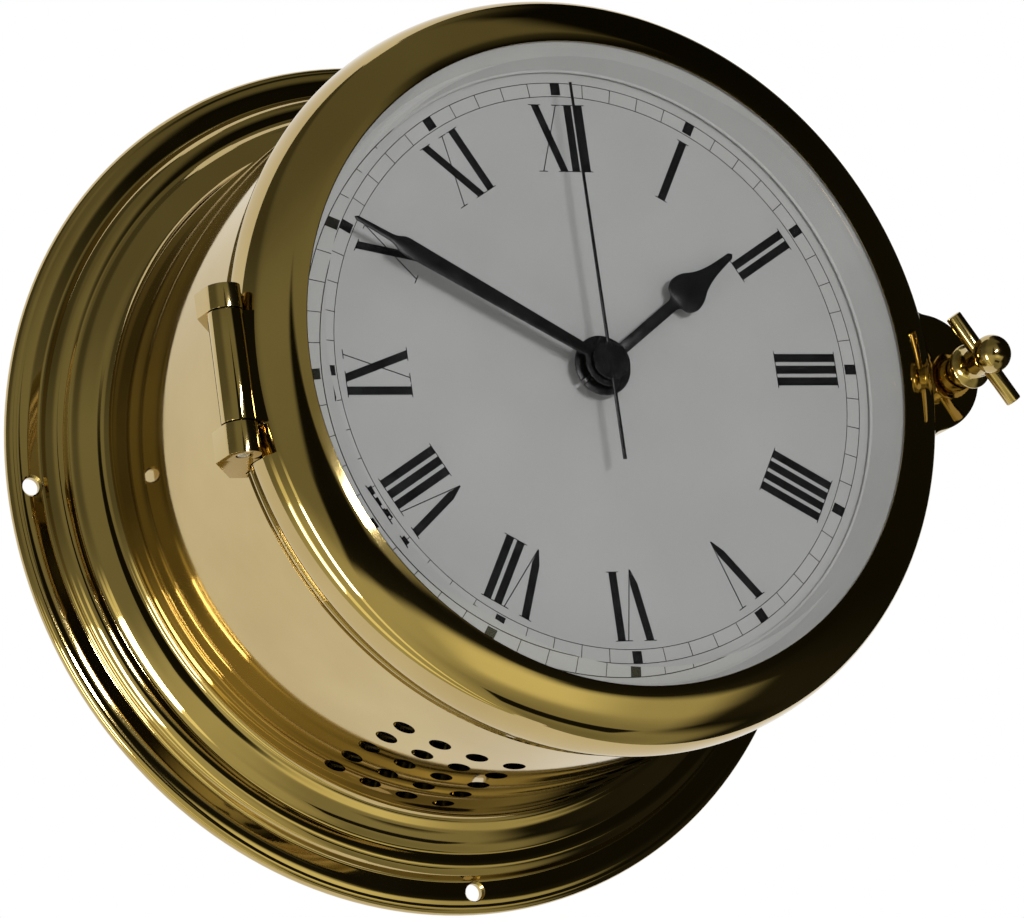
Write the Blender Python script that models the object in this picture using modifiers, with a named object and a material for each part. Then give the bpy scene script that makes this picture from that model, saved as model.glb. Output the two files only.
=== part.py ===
"""Marine clock: a turned brass bulkhead clock with a hinged bezel held by a tommy-bar screw.

Everything is modelled in clock space, under one empty: x to the right, y to twelve o'clock and
z out of the wall towards the viewer. The empty turns that space so that the world has +Z up and
the dial faces -Y. The origin is the middle of the back, on the wall. Sizes are in metres.
"""
import math

import bmesh
import bpy
from mathutils import Matrix, Vector

# Driving sizes of the case: everything else is worked out from these
FLANGE_RADIUS = 0.105
TUBE_RADIUS = 0.0842
TUBE_FRONT = 0.0838
GAP = 0.0003

# Flange: its radii as shares of its breadth, and its heights above the wall
FLANGE_BREADTH = FLANGE_RADIUS - TUBE_RADIUS
FLANGE_WALL = 0.0017
RIM_RADIUS = 0.0020
RIM_WIDTH = 0.0024
SCREW_BAND_INNER = TUBE_RADIUS + 0.6394 * FLANGE_BREADTH
SCREW_BAND_HEIGHT = 0.0050
LOWER_BEAD_OUTER = TUBE_RADIUS + 0.6202 * FLANGE_BREADTH
LOWER_BEAD_INNER = TUBE_RADIUS + 0.4712 * FLANGE_BREADTH
LOWER_BEAD_START = SCREW_BAND_HEIGHT + 0.0017
LOWER_BEAD_TOP = LOWER_BEAD_START + 0.0026
COVE_INNER = TUBE_RADIUS + 0.2981 * FLANGE_BREADTH
COVE_TOP = LOWER_BEAD_TOP + 0.0023
SHOULDER_HEIGHT = COVE_TOP + 0.0034
COLLAR_HEIGHT = SHOULDER_HEIGHT + 0.0012
COLLAR_LOW = SHOULDER_HEIGHT - 0.0020
FIXING_CIRCLE_RADIUS = TUBE_RADIUS + 0.7596 * FLANGE_BREADTH
FIXING_HOLE_RADIUS = 0.0021
FIXING_COUNTERSINK_RADIUS = 0.0039
FIXING_SURFACE = SCREW_BAND_HEIGHT - 0.0005
FIXING_HOLES = 4

# Tube, back plate and the ring between them
TUBE_WALL = 0.0015
TUBE_BEAD_RADIUS = 0.0010
TUBE_BEAD_PROUD = 0.0002
FRONT_LIP_INNER = TUBE_RADIUS - 0.0066
FRONT_LIP_THICKNESS = 0.0016
BACK_PLATE_RADIUS = TUBE_RADIUS + 0.4952 * FLANGE_BREADTH
BACK_PLATE_THICKNESS = 0.002
REAR_RING_WIDTH = 0.0065
REAR_RING_THICKNESS = 0.004
REAR_SCREWS = 3

# Sound holes in the lower wall of the tube: two groups beside the six o'clock line
SOUND_HOLE_RADIUS = 0.0026
SOUND_ROWS = 5
SOUND_COLUMNS = 4
SOUND_ROW_PITCH = 0.00918
SOUND_FIRST_ROW = COLLAR_HEIGHT + 0.00813
SOUND_COLUMN_PITCH = math.radians(6.43)
SOUND_FIRST_COLUMN = math.radians(10.6)

# Hands, as clock angles from twelve, clockwise, and heights of their backs above the dial
DIAL_FRONT = TUBE_FRONT + 0.0118
DIAL_THICKNESS = 0.0008
HOUR_ANGLE = math.radians(55.0)
MINUTE_ANGLE = math.radians(300.0)
SECOND_ANGLE = math.radians(0.0)
HAND_THICKNESS = 0.0005
SECOND_HAND_THICKNESS = 0.0004
HOUR_HAND_CLEARANCE = 0.0032
MINUTE_HAND_CLEARANCE = 0.0021
SECOND_HAND_CLEARANCE = 0.0009
HOUR_HAND_HEIGHT = DIAL_FRONT + HOUR_HAND_CLEARANCE
MINUTE_HAND_HEIGHT = HOUR_HAND_HEIGHT + HAND_THICKNESS + MINUTE_HAND_CLEARANCE
SECOND_HAND_HEIGHT = MINUTE_HAND_HEIGHT + HAND_THICKNESS + SECOND_HAND_CLEARANCE
HOUR_HUB_RADIUS = 0.0070
HOUR_HUB_SLOT = 0.0008
MINUTE_HUB_RADIUS = 0.0056
SECOND_HUB_RADIUS = 0.0044
HOUR_HAND_LENGTH = 0.0463
MINUTE_HAND_LENGTH = 0.0676
SECOND_HAND_LENGTH = 0.0660
SECOND_TAIL_LENGTH = 0.0230
SECOND_TAIL_WIDTH = 0.0009
SECOND_TIP_WIDTH = 0.0006

# Bezel, glass and dial
BEZEL_REAR = TUBE_FRONT + GAP
BEZEL_CENTRE_RADIUS = TUBE_RADIUS - 0.0059
BEZEL_CENTRE_HEIGHT = BEZEL_REAR + 0.0096
BEZEL_ROUNDING = 0.0103
BEZEL_RIM_RADIUS = TUBE_RADIUS + 0.0023
BEZEL_INNER = TUBE_RADIUS - 0.0069
APERTURE_RADIUS = TUBE_RADIUS - 0.0087
APERTURE_LIP = 0.0004
GROOVE_INNER = TUBE_RADIUS - 0.0042
GROOVE_OUTER = TUBE_RADIUS
GROOVE_TOP = BEZEL_REAR + 0.0129
GLASS_RADIUS = APERTURE_RADIUS + 0.0015
GLASS_CLEARANCE = 0.00045
GLASS_THICKNESS = 0.00245
GLASS_REAR = SECOND_HAND_HEIGHT + SECOND_HAND_THICKNESS + GLASS_CLEARANCE
GLASS_FRONT = GLASS_REAR + GLASS_THICKNESS
GLASS_EDGE = 0.00065
BEZEL_CROWN_HEIGHT = GLASS_FRONT - 0.0007
DIAL_RADIUS = APERTURE_RADIUS - 0.0053
GLASS_FLAT_RADIUS = DIAL_RADIUS
REHAUT_FOOT_RADIUS = DIAL_RADIUS + 0.0004
REHAUT_FOOT_HEIGHT = DIAL_FRONT + 0.0004
REHAUT_TOP_RADIUS = APERTURE_RADIUS + 0.0001
REHAUT_STEP = 0.0006
REHAUT_WALL = 0.0013
PAN_RADIUS = DIAL_RADIUS
PAN_WALL = 0.0012
PAN_FOOT_RADIUS = TUBE_RADIUS - TUBE_WALL - 2 * GAP
PAN_SCREWS = 3
PAN_SCREW_CIRCLE = (FRONT_LIP_INNER + PAN_FOOT_RADIUS) / 2 + 0.00015
PAN_SCREW_FIRST = math.radians(50.0)
PAN_SCREW_HEAD = 0.0018
PAN_SCREW_SHANK = 0.0010

# Hinge at nine o'clock
HINGE_X = -(TUBE_RADIUS + 0.0071)
HINGE_HEIGHT = BEZEL_CENTRE_HEIGHT + 0.0048
BARREL_RADIUS = 0.0040
BARREL_LENGTH = 0.0253
UPPER_KNUCKLE_LENGTH = 0.0055
LOWER_KNUCKLE_LENGTH = 0.0070
HINGE_PIN_RADIUS = 0.0015
KNUCKLE_SHOULDER = HINGE_HEIGHT - 0.0070
KNUCKLE_FOOT = TUBE_FRONT - 0.0113
KNUCKLE_FOOT_LEFT = -(TUBE_RADIUS + 0.0024)

# Lock at three o'clock
EAR_RADIUS = 0.0142
EAR_CENTRE_X = TUBE_RADIUS + 0.0043
EAR_FILLET = 0.0050
EAR_FRONT = BEZEL_REAR + 0.0107
EAR_EDGE = 0.0010
LUG_REAR = TUBE_FRONT - 0.0081
LOCK_X = EAR_CENTRE_X + 0.0094
SHANK_RADIUS = 0.0023
SHANK_TIP_RADIUS = 0.0020
SHANK_TIP = BEZEL_REAR - 0.0041
EAR_HOLE_RADIUS = 0.0026
LUG_HOLE_RADIUS = 0.0025
COLLAR_RADIUS = 0.0039
COLLAR_LENGTH = 0.0032
SKIRT_RADIUS = 0.0053
SKIRT_RIM = 0.0008
NECK_RADIUS = 0.0034
NECK_HEIGHT = EAR_FRONT + 0.0082
BALL_RADIUS = 0.0045
BALL_HEIGHT = NECK_HEIGHT + 0.0060
TOMMY_RADIUS = 0.0019
TOMMY_LENGTH = 0.0245
TOMMY_HEIGHT = NECK_HEIGHT + 0.0023
TOMMY_ANGLE = math.radians(-58.0)

# Movement: its levels are counted back from the dial
HOUSING_HALF = 0.028
HOUSING_WALL = 0.0015
HOUSING_FRONT = DIAL_FRONT - DIAL_THICKNESS - PAN_WALL - 2 * GAP
HOUSING_REAR = DIAL_FRONT - 0.0209
COVER_THICKNESS = 0.0015
BUSHING_RADIUS = 0.0040
BUSHING_BORE = 0.0031
BUSHING_TOP = DIAL_FRONT + 0.0023
NUT_RADIUS = 0.0056
NUT_THICKNESS = 0.0016
HOUR_PIPE_RADIUS = 0.0028
HOUR_PIPE_BORE = 0.0020
CENTRE_TUBE_RADIUS = 0.0017
CENTRE_TUBE_BORE = 0.00095
SECOND_ARBOR_RADIUS = 0.0006
ARBOR_RADIUS = 0.0004
MINUTE_ARBOR_RADIUS = 0.0008
WHEEL_THICKNESS = 0.0008
BRIDGE_FRONT = DIAL_FRONT - 0.0153
BRIDGE_THICKNESS = 0.001
ADDENDUM = 0.45
DEDENDUM = 0.85
PINION_LEAVES = 6
INTERMEDIATE_TEETH = 36
SECOND_TEETH = 30
THIRD_TEETH = 45
CENTRE_TEETH = 48
MINUTE_TEETH = 18
HOUR_TEETH = 24
ROTOR_LEVEL = BRIDGE_FRONT + WHEEL_THICKNESS
SECOND_LEVEL = ROTOR_LEVEL + 0.0017
THIRD_LEVEL = SECOND_LEVEL + 0.0020
CENTRE_LEVEL = THIRD_LEVEL + 0.0022
MINUTE_LEVEL = CENTRE_LEVEL + 0.0018
HOUR_LEVEL = MINUTE_LEVEL + 0.0013
ROTOR_SPACING = 0.0084
INTERMEDIATE_SPACING = 0.0094
THIRD_SPACING = 0.0090
MINUTE_SPACING = 0.0095
INTERMEDIATE_BEARING = math.radians(110)
ROTOR_BEARING = math.radians(60)
THIRD_BEARING = math.radians(10)
MINUTE_BEARING = math.radians(200)
ROTOR_RADIUS = 0.0024
ROTOR_LOW = ROTOR_LEVEL + 0.0018
ROTOR_LENGTH = 0.0030
STATOR_LEVEL = ROTOR_LOW + 0.0011
STATOR_THICKNESS = 0.0008
STATOR_CLEARANCE = 0.0006
COIL_HALF_HEIGHT = 0.0029
COIL_LENGTH = 0.0180
BOARD_HEIGHT = HOUSING_REAR + 0.0019
BOARD_THICKNESS = 0.001
CELL_RADIUS = 0.0070
CELL_HALF_LENGTH = 0.0248
CELL_Y = -0.0192
CELL_HEIGHT = HOUSING_REAR + 0.0083
KNOB_RADIUS = 0.0050
KNOB_THICKNESS = 0.0035

# Loudspeaker and strike works on the back plate
BAFFLE_Y = -0.8314 * TUBE_RADIUS
BAFFLE_THICKNESS = 0.0015
BAFFLE_LOW = 0.0135
BAFFLE_HIGH = TUBE_FRONT - 0.0128
SPEAKER_RADIUS = 0.297 * TUBE_RADIUS
SPEAKER_HEIGHT = (BAFFLE_LOW + BAFFLE_HIGH) / 2 + 0.00025
SPEAKER_DEPTH = 0.0110
SPEAKER_MAGNET_RADIUS = 0.0110
SPEAKER_MAGNET_DEPTH = 0.0070
STRIKE_BOX = (0.070, 0.030, 0.014)
STRIKE_BOX_Y = 0.034
HOLDER_BOX = (0.062, 0.034, 0.009)
HOLDER_Y = -0.008

BIG_STEPS = 48
INNER_STEPS = 32
MID_STEPS = 20
SMALL_STEPS = 12
MERGE = 0.000001
OVERCUT = 0.002


# Helpers for making and combining shapes

def clear_scene():
    for item in list(bpy.data.objects):
        bpy.data.objects.remove(item)


def make_collection(name):
    group = bpy.data.collections.new(name)
    bpy.context.scene.collection.children.link(group)
    return group


def make_material(name, colour, roughness, metallic):
    material = bpy.data.materials.new(name)
    material.use_nodes = True
    shader = material.node_tree.nodes["Principled BSDF"]
    shader.inputs["Base Color"].default_value = (*colour, 1.0)
    shader.inputs["Roughness"].default_value = roughness
    shader.inputs["Metallic"].default_value = metallic
    return material


def add_object(name, mesh, material, parent, location=(0, 0, 0)):
    """Put a mesh in the clock's collection, or in the cutters' where it has no material."""
    thing = bpy.data.objects.new(name, mesh)
    thing.parent = parent
    thing.location = location
    if material is None:
        CUTTERS.objects.link(thing)
        thing.hide_render = True
        thing.display_type = "WIRE"
    else:
        CLOCK.objects.link(thing)
        mesh.materials.append(material)
    return thing


def smooth(mesh):
    mesh.shade_smooth()
    mesh.set_sharp_from_angle(angle=math.radians(32))


def arc(centre_r, centre_z, radius, start, end, pieces, depth=None):
    """Points on an arc; angles in degrees from the radial direction towards the viewer."""
    high = radius if depth is None else depth
    points = []
    for index in range(pieces + 1):
        angle = math.radians(start + (end - start) * index / pieces)
        points.append((centre_r + radius * math.cos(angle), centre_z + high * math.sin(angle)))
    return points


def signed_area(points):
    total = 0.0
    for index, (x1, y1) in enumerate(points):
        x2, y2 = points[(index + 1) % len(points)]
        total += x1 * y2 - x2 * y1
    return total / 2


def turned(name, profile, material, parent, steps=BIG_STEPS, location=(0, 0, 0)):
    """Turn a profile of (radius, height) points about z.

    A profile that starts and ends on the axis stays open there; any other is closed. Either
    way it runs down its outer side, so that the faces point out.
    """
    points = list(profile)
    if signed_area(points) > 0:
        points.reverse()
    closed = min(point[0] for point in points) > MERGE
    mesh = bpy.data.meshes.new(name)
    vertices = [(radius, 0.0, height) for radius, height in points]
    edges = [(index, index + 1) for index in range(len(points) - 1)]
    if closed:
        edges.append((len(points) - 1, 0))
    mesh.from_pydata(vertices, edges, [])
    thing = add_object(name, mesh, material, parent, location)
    screw = thing.modifiers.new("turn", "SCREW")
    screw.axis = "Z"
    screw.angle = math.tau
    screw.steps = steps
    screw.render_steps = steps
    screw.use_merge_vertices = True
    screw.merge_threshold = MERGE
    screw.use_smooth_shade = True
    return thing


def plate(name, outlines, low, high, material, parent, location=(0, 0, 0)):
    """Make a flat piece from closed outlines: the first is its edge, the rest are holes."""
    curve = bpy.data.curves.new(name, "CURVE")
    curve.dimensions = "2D"
    curve.fill_mode = "BOTH"
    curve.extrude = (high - low) / 2
    for outline in outlines:
        spline = curve.splines.new("POLY")
        spline.points.add(len(outline) - 1)
        for point, (x, y) in zip(spline.points, outline):
            point.co = (x, y, 0.0, 1.0)
        spline.use_cyclic_u = True
    guide = bpy.data.objects.new(name + "_guide", curve)
    CUTTERS.objects.link(guide)
    graph = bpy.context.evaluated_depsgraph_get()
    mesh = bpy.data.meshes.new_from_object(guide.evaluated_get(graph))
    bpy.data.objects.remove(guide)
    shape = bmesh.new()
    shape.from_mesh(mesh)
    bmesh.ops.remove_doubles(shape, verts=shape.verts, dist=MERGE)
    bmesh.ops.translate(shape, verts=shape.verts, vec=(0, 0, (low + high) / 2))
    bmesh.ops.recalc_face_normals(shape, faces=shape.faces)
    shape.to_mesh(mesh)
    shape.free()
    mesh.name = name
    return add_object(name, mesh, material, parent, location)


def block(name, low, high, material, parent, location=(0, 0, 0), edge=0.0):
    """Make a box between two corners, with its edges rounded off where edge is set."""
    size = Vector(high) - Vector(low)
    middle = (Vector(high) + Vector(low)) / 2
    shape = bmesh.new()
    placing = Matrix.Translation(middle) @ Matrix.Diagonal((*size, 1.0))
    bmesh.ops.create_cube(shape, size=1.0, matrix=placing)
    mesh = bpy.data.meshes.new(name)
    shape.to_mesh(mesh)
    shape.free()
    thing = add_object(name, mesh, material, parent, location)
    if edge > 0:
        chamfer(thing, edge)
    return thing


def rod(name, start, end, radius, material, parent, steps=SMALL_STEPS, edge=0.0):
    """Make a round bar between two points."""
    start = Vector(start)
    along = Vector(end) - start
    shape = bmesh.new()
    turn = along.to_track_quat("Z", "Y").to_matrix().to_4x4()
    placing = Matrix.Translation(start + along / 2) @ turn
    bmesh.ops.create_cone(shape, cap_ends=True, segments=steps, radius1=radius, radius2=radius,
                          depth=along.length, matrix=placing)
    mesh = bpy.data.meshes.new(name)
    shape.to_mesh(mesh)
    shape.free()
    smooth(mesh)
    thing = add_object(name, mesh, material, parent)
    if edge > 0:
        chamfer(thing, edge)
    return thing


def chamfer(thing, width, segments=1):
    bevel = thing.modifiers.new("edges", "BEVEL")
    bevel.width = width
    bevel.segments = segments
    bevel.limit_method = "ANGLE"
    bevel.angle_limit = math.radians(40)


def combine(thing, other, operation):
    modifier = thing.modifiers.new(operation.lower(), "BOOLEAN")
    modifier.operation = operation
    modifier.object = other
    modifier.solver = "EXACT"


def cut(thing, *cutters):
    for cutter in cutters:
        combine(thing, cutter, "DIFFERENCE")


def join(thing, *additions):
    for addition in additions:
        combine(thing, addition, "UNION")


def circle(radius, steps, centre=(0.0, 0.0), start=0.0):
    points = []
    for index in range(steps):
        angle = start + math.tau * index / steps
        points.append((centre[0] + radius * math.cos(angle), centre[1] + radius * math.sin(angle)))
    return points


def polar(distance, bearing):
    """A point at a distance from the middle, at an angle from +x towards +y."""
    return (distance * math.cos(bearing), distance * math.sin(bearing))


def clock_point(radius, angle):
    """A point at a radius, at a clock angle from twelve, clockwise."""
    return (radius * math.sin(angle), radius * math.cos(angle))


def box_outline(x_low, x_high, y_low, y_high):
    return [(x_low, y_low), (x_high, y_low), (x_high, y_high), (x_low, y_high)]


# Case

def flange_face():
    """Front of the flange from its rim to the tube: rim, screw band, bead, cove and collar."""
    rim = arc(FLANGE_RADIUS - RIM_RADIUS, RIM_RADIUS, RIM_RADIUS, 0, 90, 4)
    lower_bead = arc(LOWER_BEAD_INNER, LOWER_BEAD_START, LOWER_BEAD_OUTER - LOWER_BEAD_INNER, 0, 90, 4,
                     depth=LOWER_BEAD_TOP - LOWER_BEAD_START)
    cove = arc(LOWER_BEAD_INNER, COVE_TOP, LOWER_BEAD_INNER - COVE_INNER, 270, 180, 4,
               depth=COVE_TOP - LOWER_BEAD_TOP)[1:]
    collar = TUBE_RADIUS + GAP
    shoulder = [
        (COVE_INNER - 0.0002, COVE_TOP + 0.0007),
        (COVE_INNER - 0.0020, COVE_TOP + 0.0022),
        (collar + 0.0010, SHOULDER_HEIGHT),
        (collar + 0.0005, COLLAR_HEIGHT - 0.0001),
        (collar, COLLAR_HEIGHT),
    ]
    return rim + [(SCREW_BAND_INNER, SCREW_BAND_HEIGHT)] + lower_bead + cove + shoulder


def flange_back():
    """Underside of the flange from the tube back to its rim, one wall below the front."""
    collar = TUBE_RADIUS + GAP
    cove = arc(LOWER_BEAD_INNER, COVE_TOP, LOWER_BEAD_INNER - COVE_INNER + FLANGE_WALL, 180, 270, 2,
               depth=COVE_TOP - LOWER_BEAD_TOP + FLANGE_WALL)
    bead_width = LOWER_BEAD_OUTER - LOWER_BEAD_INNER - FLANGE_WALL
    bead = arc(LOWER_BEAD_INNER, LOWER_BEAD_START, bead_width, 90, 0, 2,
               depth=LOWER_BEAD_TOP - LOWER_BEAD_START - FLANGE_WALL)[1:]
    under_band = SCREW_BAND_HEIGHT - FLANGE_WALL
    rim_inner = FLANGE_RADIUS - RIM_WIDTH
    return [(collar, COLLAR_LOW)] + cove + bead + [
        (LOWER_BEAD_OUTER - FLANGE_WALL, under_band),
        (rim_inner, 2 * RIM_RADIUS - FLANGE_WALL),
        (rim_inner, 0.0),
        (FLANGE_RADIUS - 0.0009, 0.0),
        (FLANGE_RADIUS, 0.0009),
    ]


def make_flange(root):
    flange = turned("mounting_flange", flange_face() + flange_back(), BRASS, root)
    depth = FIXING_COUNTERSINK_RADIUS - FIXING_HOLE_RADIUS
    for index in range(FIXING_HOLES):
        x, y = clock_point(FIXING_CIRCLE_RADIUS, math.tau * index / FIXING_HOLES)
        profile = [
            (0.0, FIXING_SURFACE + OVERCUT),
            (FIXING_COUNTERSINK_RADIUS + OVERCUT, FIXING_SURFACE + OVERCUT),
            (FIXING_HOLE_RADIUS, FIXING_SURFACE - depth),
            (FIXING_HOLE_RADIUS, -OVERCUT),
            (0.0, -OVERCUT),
        ]
        cut(flange, turned(f"fixing_hole_{index + 1}", profile, None, root, 16, (x, y, 0.0)))
    return flange


def tube_outside(grow=0.0):
    """Outside of the tube from its front edge down: a half-round bead, then the wall."""
    centre = TUBE_RADIUS + TUBE_BEAD_PROUD
    bead_height = TUBE_FRONT - TUBE_BEAD_RADIUS
    bead = arc(centre, bead_height, TUBE_BEAD_RADIUS + grow, 90, -90, 4)
    return bead + [(TUBE_RADIUS + grow, bead_height - TUBE_BEAD_RADIUS - grow - 0.0002)]


def make_tube(root):
    """Case tube with an in-turned front lip, a bead below the bezel and the sound holes."""
    inner = TUBE_RADIUS - TUBE_WALL
    rear = BACK_PLATE_THICKNESS + GAP
    profile = [(FRONT_LIP_INNER, TUBE_FRONT)] + tube_outside() + [
        (TUBE_RADIUS, rear),
        (inner, rear),
        (inner, TUBE_FRONT - FRONT_LIP_THICKNESS),
        (FRONT_LIP_INNER, TUBE_FRONT - FRONT_LIP_THICKNESS),
    ]
    tube = turned("case_tube", profile, BRASS, root)
    shape = bmesh.new()
    for side in (-1, 1):
        for column in range(SOUND_COLUMNS):
            angle = math.pi + side * (SOUND_FIRST_COLUMN + column * SOUND_COLUMN_PITCH)
            outward = Vector((*clock_point(1.0, angle), 0.0))
            turn = outward.to_track_quat("Z", "Y").to_matrix().to_4x4()
            for row in range(SOUND_ROWS):
                height = SOUND_FIRST_ROW + row * SOUND_ROW_PITCH
                spot = outward * TUBE_RADIUS + Vector((0, 0, height))
                bmesh.ops.create_cone(shape, cap_ends=True, segments=8,
                                      radius1=SOUND_HOLE_RADIUS, radius2=SOUND_HOLE_RADIUS,
                                      depth=6 * TUBE_WALL, matrix=Matrix.Translation(spot) @ turn)
    mesh = bpy.data.meshes.new("sound_holes")
    shape.to_mesh(mesh)
    shape.free()
    cut(tube, add_object("sound_holes", mesh, None, root))
    for index in range(PAN_SCREWS):
        cut(tube, pan_screw(f"lip_hole_{index + 1}", index, None, root, GAP))
    return tube


def pan_screw(name, index, material, root, clearance):
    """A countersunk screw through the case's front lip into the dial pan, or its hole."""
    x, y = clock_point(PAN_SCREW_CIRCLE, PAN_SCREW_FIRST + math.tau * index / PAN_SCREWS)
    top = TUBE_FRONT - GAP / 2 + clearance
    head = PAN_SCREW_HEAD + clearance
    shank = PAN_SCREW_SHANK + clearance
    bottom = TUBE_FRONT - FRONT_LIP_THICKNESS - 3 * PAN_WALL - clearance
    cone_end = top - (head - shank)
    profile = [(0.0, top), (head, top), (shank, cone_end), (shank, bottom), (0.0, bottom)]
    return turned(name, profile, material, root, SMALL_STEPS, (x, y, 0.0))


def rear_screw(name, index, material, root, clearance):
    """A pan-headed screw through the back plate into the rear ring, or its hole."""
    ring_middle = TUBE_RADIUS - TUBE_WALL - GAP - REAR_RING_WIDTH / 2
    x, y = clock_point(ring_middle, math.tau * index / REAR_SCREWS)
    head = 0.0024 + clearance
    shank = 0.0012 + clearance
    head_top = BACK_PLATE_THICKNESS * 0.6 + clearance
    end = BACK_PLATE_THICKNESS + REAR_RING_THICKNESS * 0.75 + clearance
    low = GAP if clearance == 0 else -OVERCUT
    profile = [(0.0, end), (shank, end), (shank, head_top), (head, head_top), (head, low), (0.0, low)]
    return turned(name, profile, material, root, SMALL_STEPS, (x, y, 0.0))


def make_back(root):
    """Flat back plate, the ring soldered into the tube's rear and the screws between them."""
    plate_profile = [(0.0, BACK_PLATE_THICKNESS), (BACK_PLATE_RADIUS, BACK_PLATE_THICKNESS),
                     (BACK_PLATE_RADIUS, 0.0), (0.0, 0.0)]
    back = turned("back_plate", plate_profile, PLATE_BLACK, root, INNER_STEPS)
    outer = TUBE_RADIUS - TUBE_WALL - GAP
    inner = outer - REAR_RING_WIDTH
    low = BACK_PLATE_THICKNESS + GAP
    high = low + REAR_RING_THICKNESS
    ring = turned("rear_ring", [(inner, high), (outer, high), (outer, low), (inner, low)], BRASS, root,
                  INNER_STEPS)
    for index in range(REAR_SCREWS):
        rear_screw(f"back_plate_screw_{index + 1}", index, STEEL, root, 0.0)
        hole = rear_screw(f"rear_hole_{index + 1}", index, None, root, GAP)
        cut(back, hole)
        cut(ring, hole)


def make_dial_parts(root):
    """Dial pan behind the dial, the dial itself and the countersunk screws of the pan."""
    pan_front = DIAL_FRONT - DIAL_THICKNESS - GAP
    foot_top = TUBE_FRONT - FRONT_LIP_THICKNESS - GAP
    bore = BUSHING_RADIUS + GAP
    profile = [
        (bore, pan_front),
        (PAN_RADIUS, pan_front),
        (PAN_RADIUS, foot_top),
        (PAN_FOOT_RADIUS, foot_top),
        (PAN_FOOT_RADIUS, foot_top - PAN_WALL),
        (PAN_RADIUS - PAN_WALL, foot_top - PAN_WALL),
        (PAN_RADIUS - PAN_WALL, pan_front - PAN_WALL),
        (bore, pan_front - PAN_WALL),
    ]
    pan = turned("dial_pan", profile, PAN_GREY, root)
    for index in range(PAN_SCREWS):
        pan_screw(f"pan_screw_{index + 1}", index, STEEL, root, 0.0)
        cut(pan, pan_screw(f"pan_hole_{index + 1}", index, None, root, GAP))
    dial_profile = [(bore, DIAL_FRONT), (DIAL_RADIUS, DIAL_FRONT),
                    (DIAL_RADIUS, DIAL_FRONT - DIAL_THICKNESS), (bore, DIAL_FRONT - DIAL_THICKNESS)]
    turned("dial", dial_profile, ENAMEL, root)


# Bezel

def bezel_outside(grow=0.0):
    """Rounded outside of the bezel from the edge of its opening to its rear rim."""
    crown = [
        (APERTURE_RADIUS - grow, BEZEL_CROWN_HEIGHT - 0.0001 + grow),
        (APERTURE_RADIUS + 0.0003, BEZEL_CROWN_HEIGHT + 0.0001 + grow),
        (APERTURE_RADIUS + 0.0014, BEZEL_CROWN_HEIGHT + grow),
        (APERTURE_RADIUS + 0.0040, BEZEL_CROWN_HEIGHT - 0.0009 + grow),
        (APERTURE_RADIUS + 0.0063, BEZEL_CROWN_HEIGHT - 0.0019 + grow),
    ]
    side = arc(BEZEL_CENTRE_RADIUS, BEZEL_CENTRE_HEIGHT, BEZEL_ROUNDING + grow, 56, -40, 8)
    rim = [
        (BEZEL_RIM_RADIUS + grow, BEZEL_REAR + 0.0022),
        (BEZEL_RIM_RADIUS + grow, BEZEL_REAR + 0.0005 - grow),
        (BEZEL_RIM_RADIUS - 0.0005 + grow, BEZEL_REAR - grow),
    ]
    return crown + side + rim


def make_bezel(pivot):
    """Bezel casting: turned ring with a rear groove, hinge barrel at the left, ear at the right."""
    seat_low = GLASS_REAR - 2 * GAP
    lip_under = BEZEL_CROWN_HEIGHT - APERTURE_LIP
    profile = bezel_outside() + [
        (GROOVE_OUTER, BEZEL_REAR),
        (GROOVE_OUTER, GROOVE_TOP),
        (GROOVE_INNER, GROOVE_TOP),
        (GROOVE_INNER, BEZEL_REAR),
        (BEZEL_INNER, BEZEL_REAR),
        (BEZEL_INNER, seat_low),
        (GLASS_RADIUS + GAP, lip_under - GAP),
        (APERTURE_RADIUS, lip_under),
    ]
    bezel = turned("bezel_ring", profile, BRASS, pivot, location=FROM_HINGE)
    ear = plate("bezel_ear", [ear_outline()], BEZEL_REAR, EAR_FRONT, None, pivot, FROM_HINGE)
    chamfer(ear, EAR_EDGE)
    join(bezel, ear)
    half = BARREL_LENGTH / 2
    barrel = rod("bezel_barrel", (0, -half, 0), (0, half, 0), BARREL_RADIUS, None, pivot, MID_STEPS)
    web_end = -BEZEL_CENTRE_RADIUS - BEZEL_ROUNDING * 0.6 - HINGE_X
    web = block("barrel_web", (0, -half, -BARREL_RADIUS * 1.3), (web_end, half, BARREL_RADIUS * 0.5), None,
                pivot)
    join(bezel, barrel, web)
    bore = HINGE_PIN_RADIUS + GAP
    cut(bezel, rod("barrel_bore", (0, -BARREL_LENGTH, 0), (0, BARREL_LENGTH, 0), bore, None, pivot))
    hole = rod("ear_hole", (LOCK_X, 0, BEZEL_REAR - OVERCUT), (LOCK_X, 0, EAR_FRONT + OVERCUT),
               EAR_HOLE_RADIUS, None, pivot, 16)
    hole.location = FROM_HINGE
    cut(bezel, hole)
    return bezel


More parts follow.
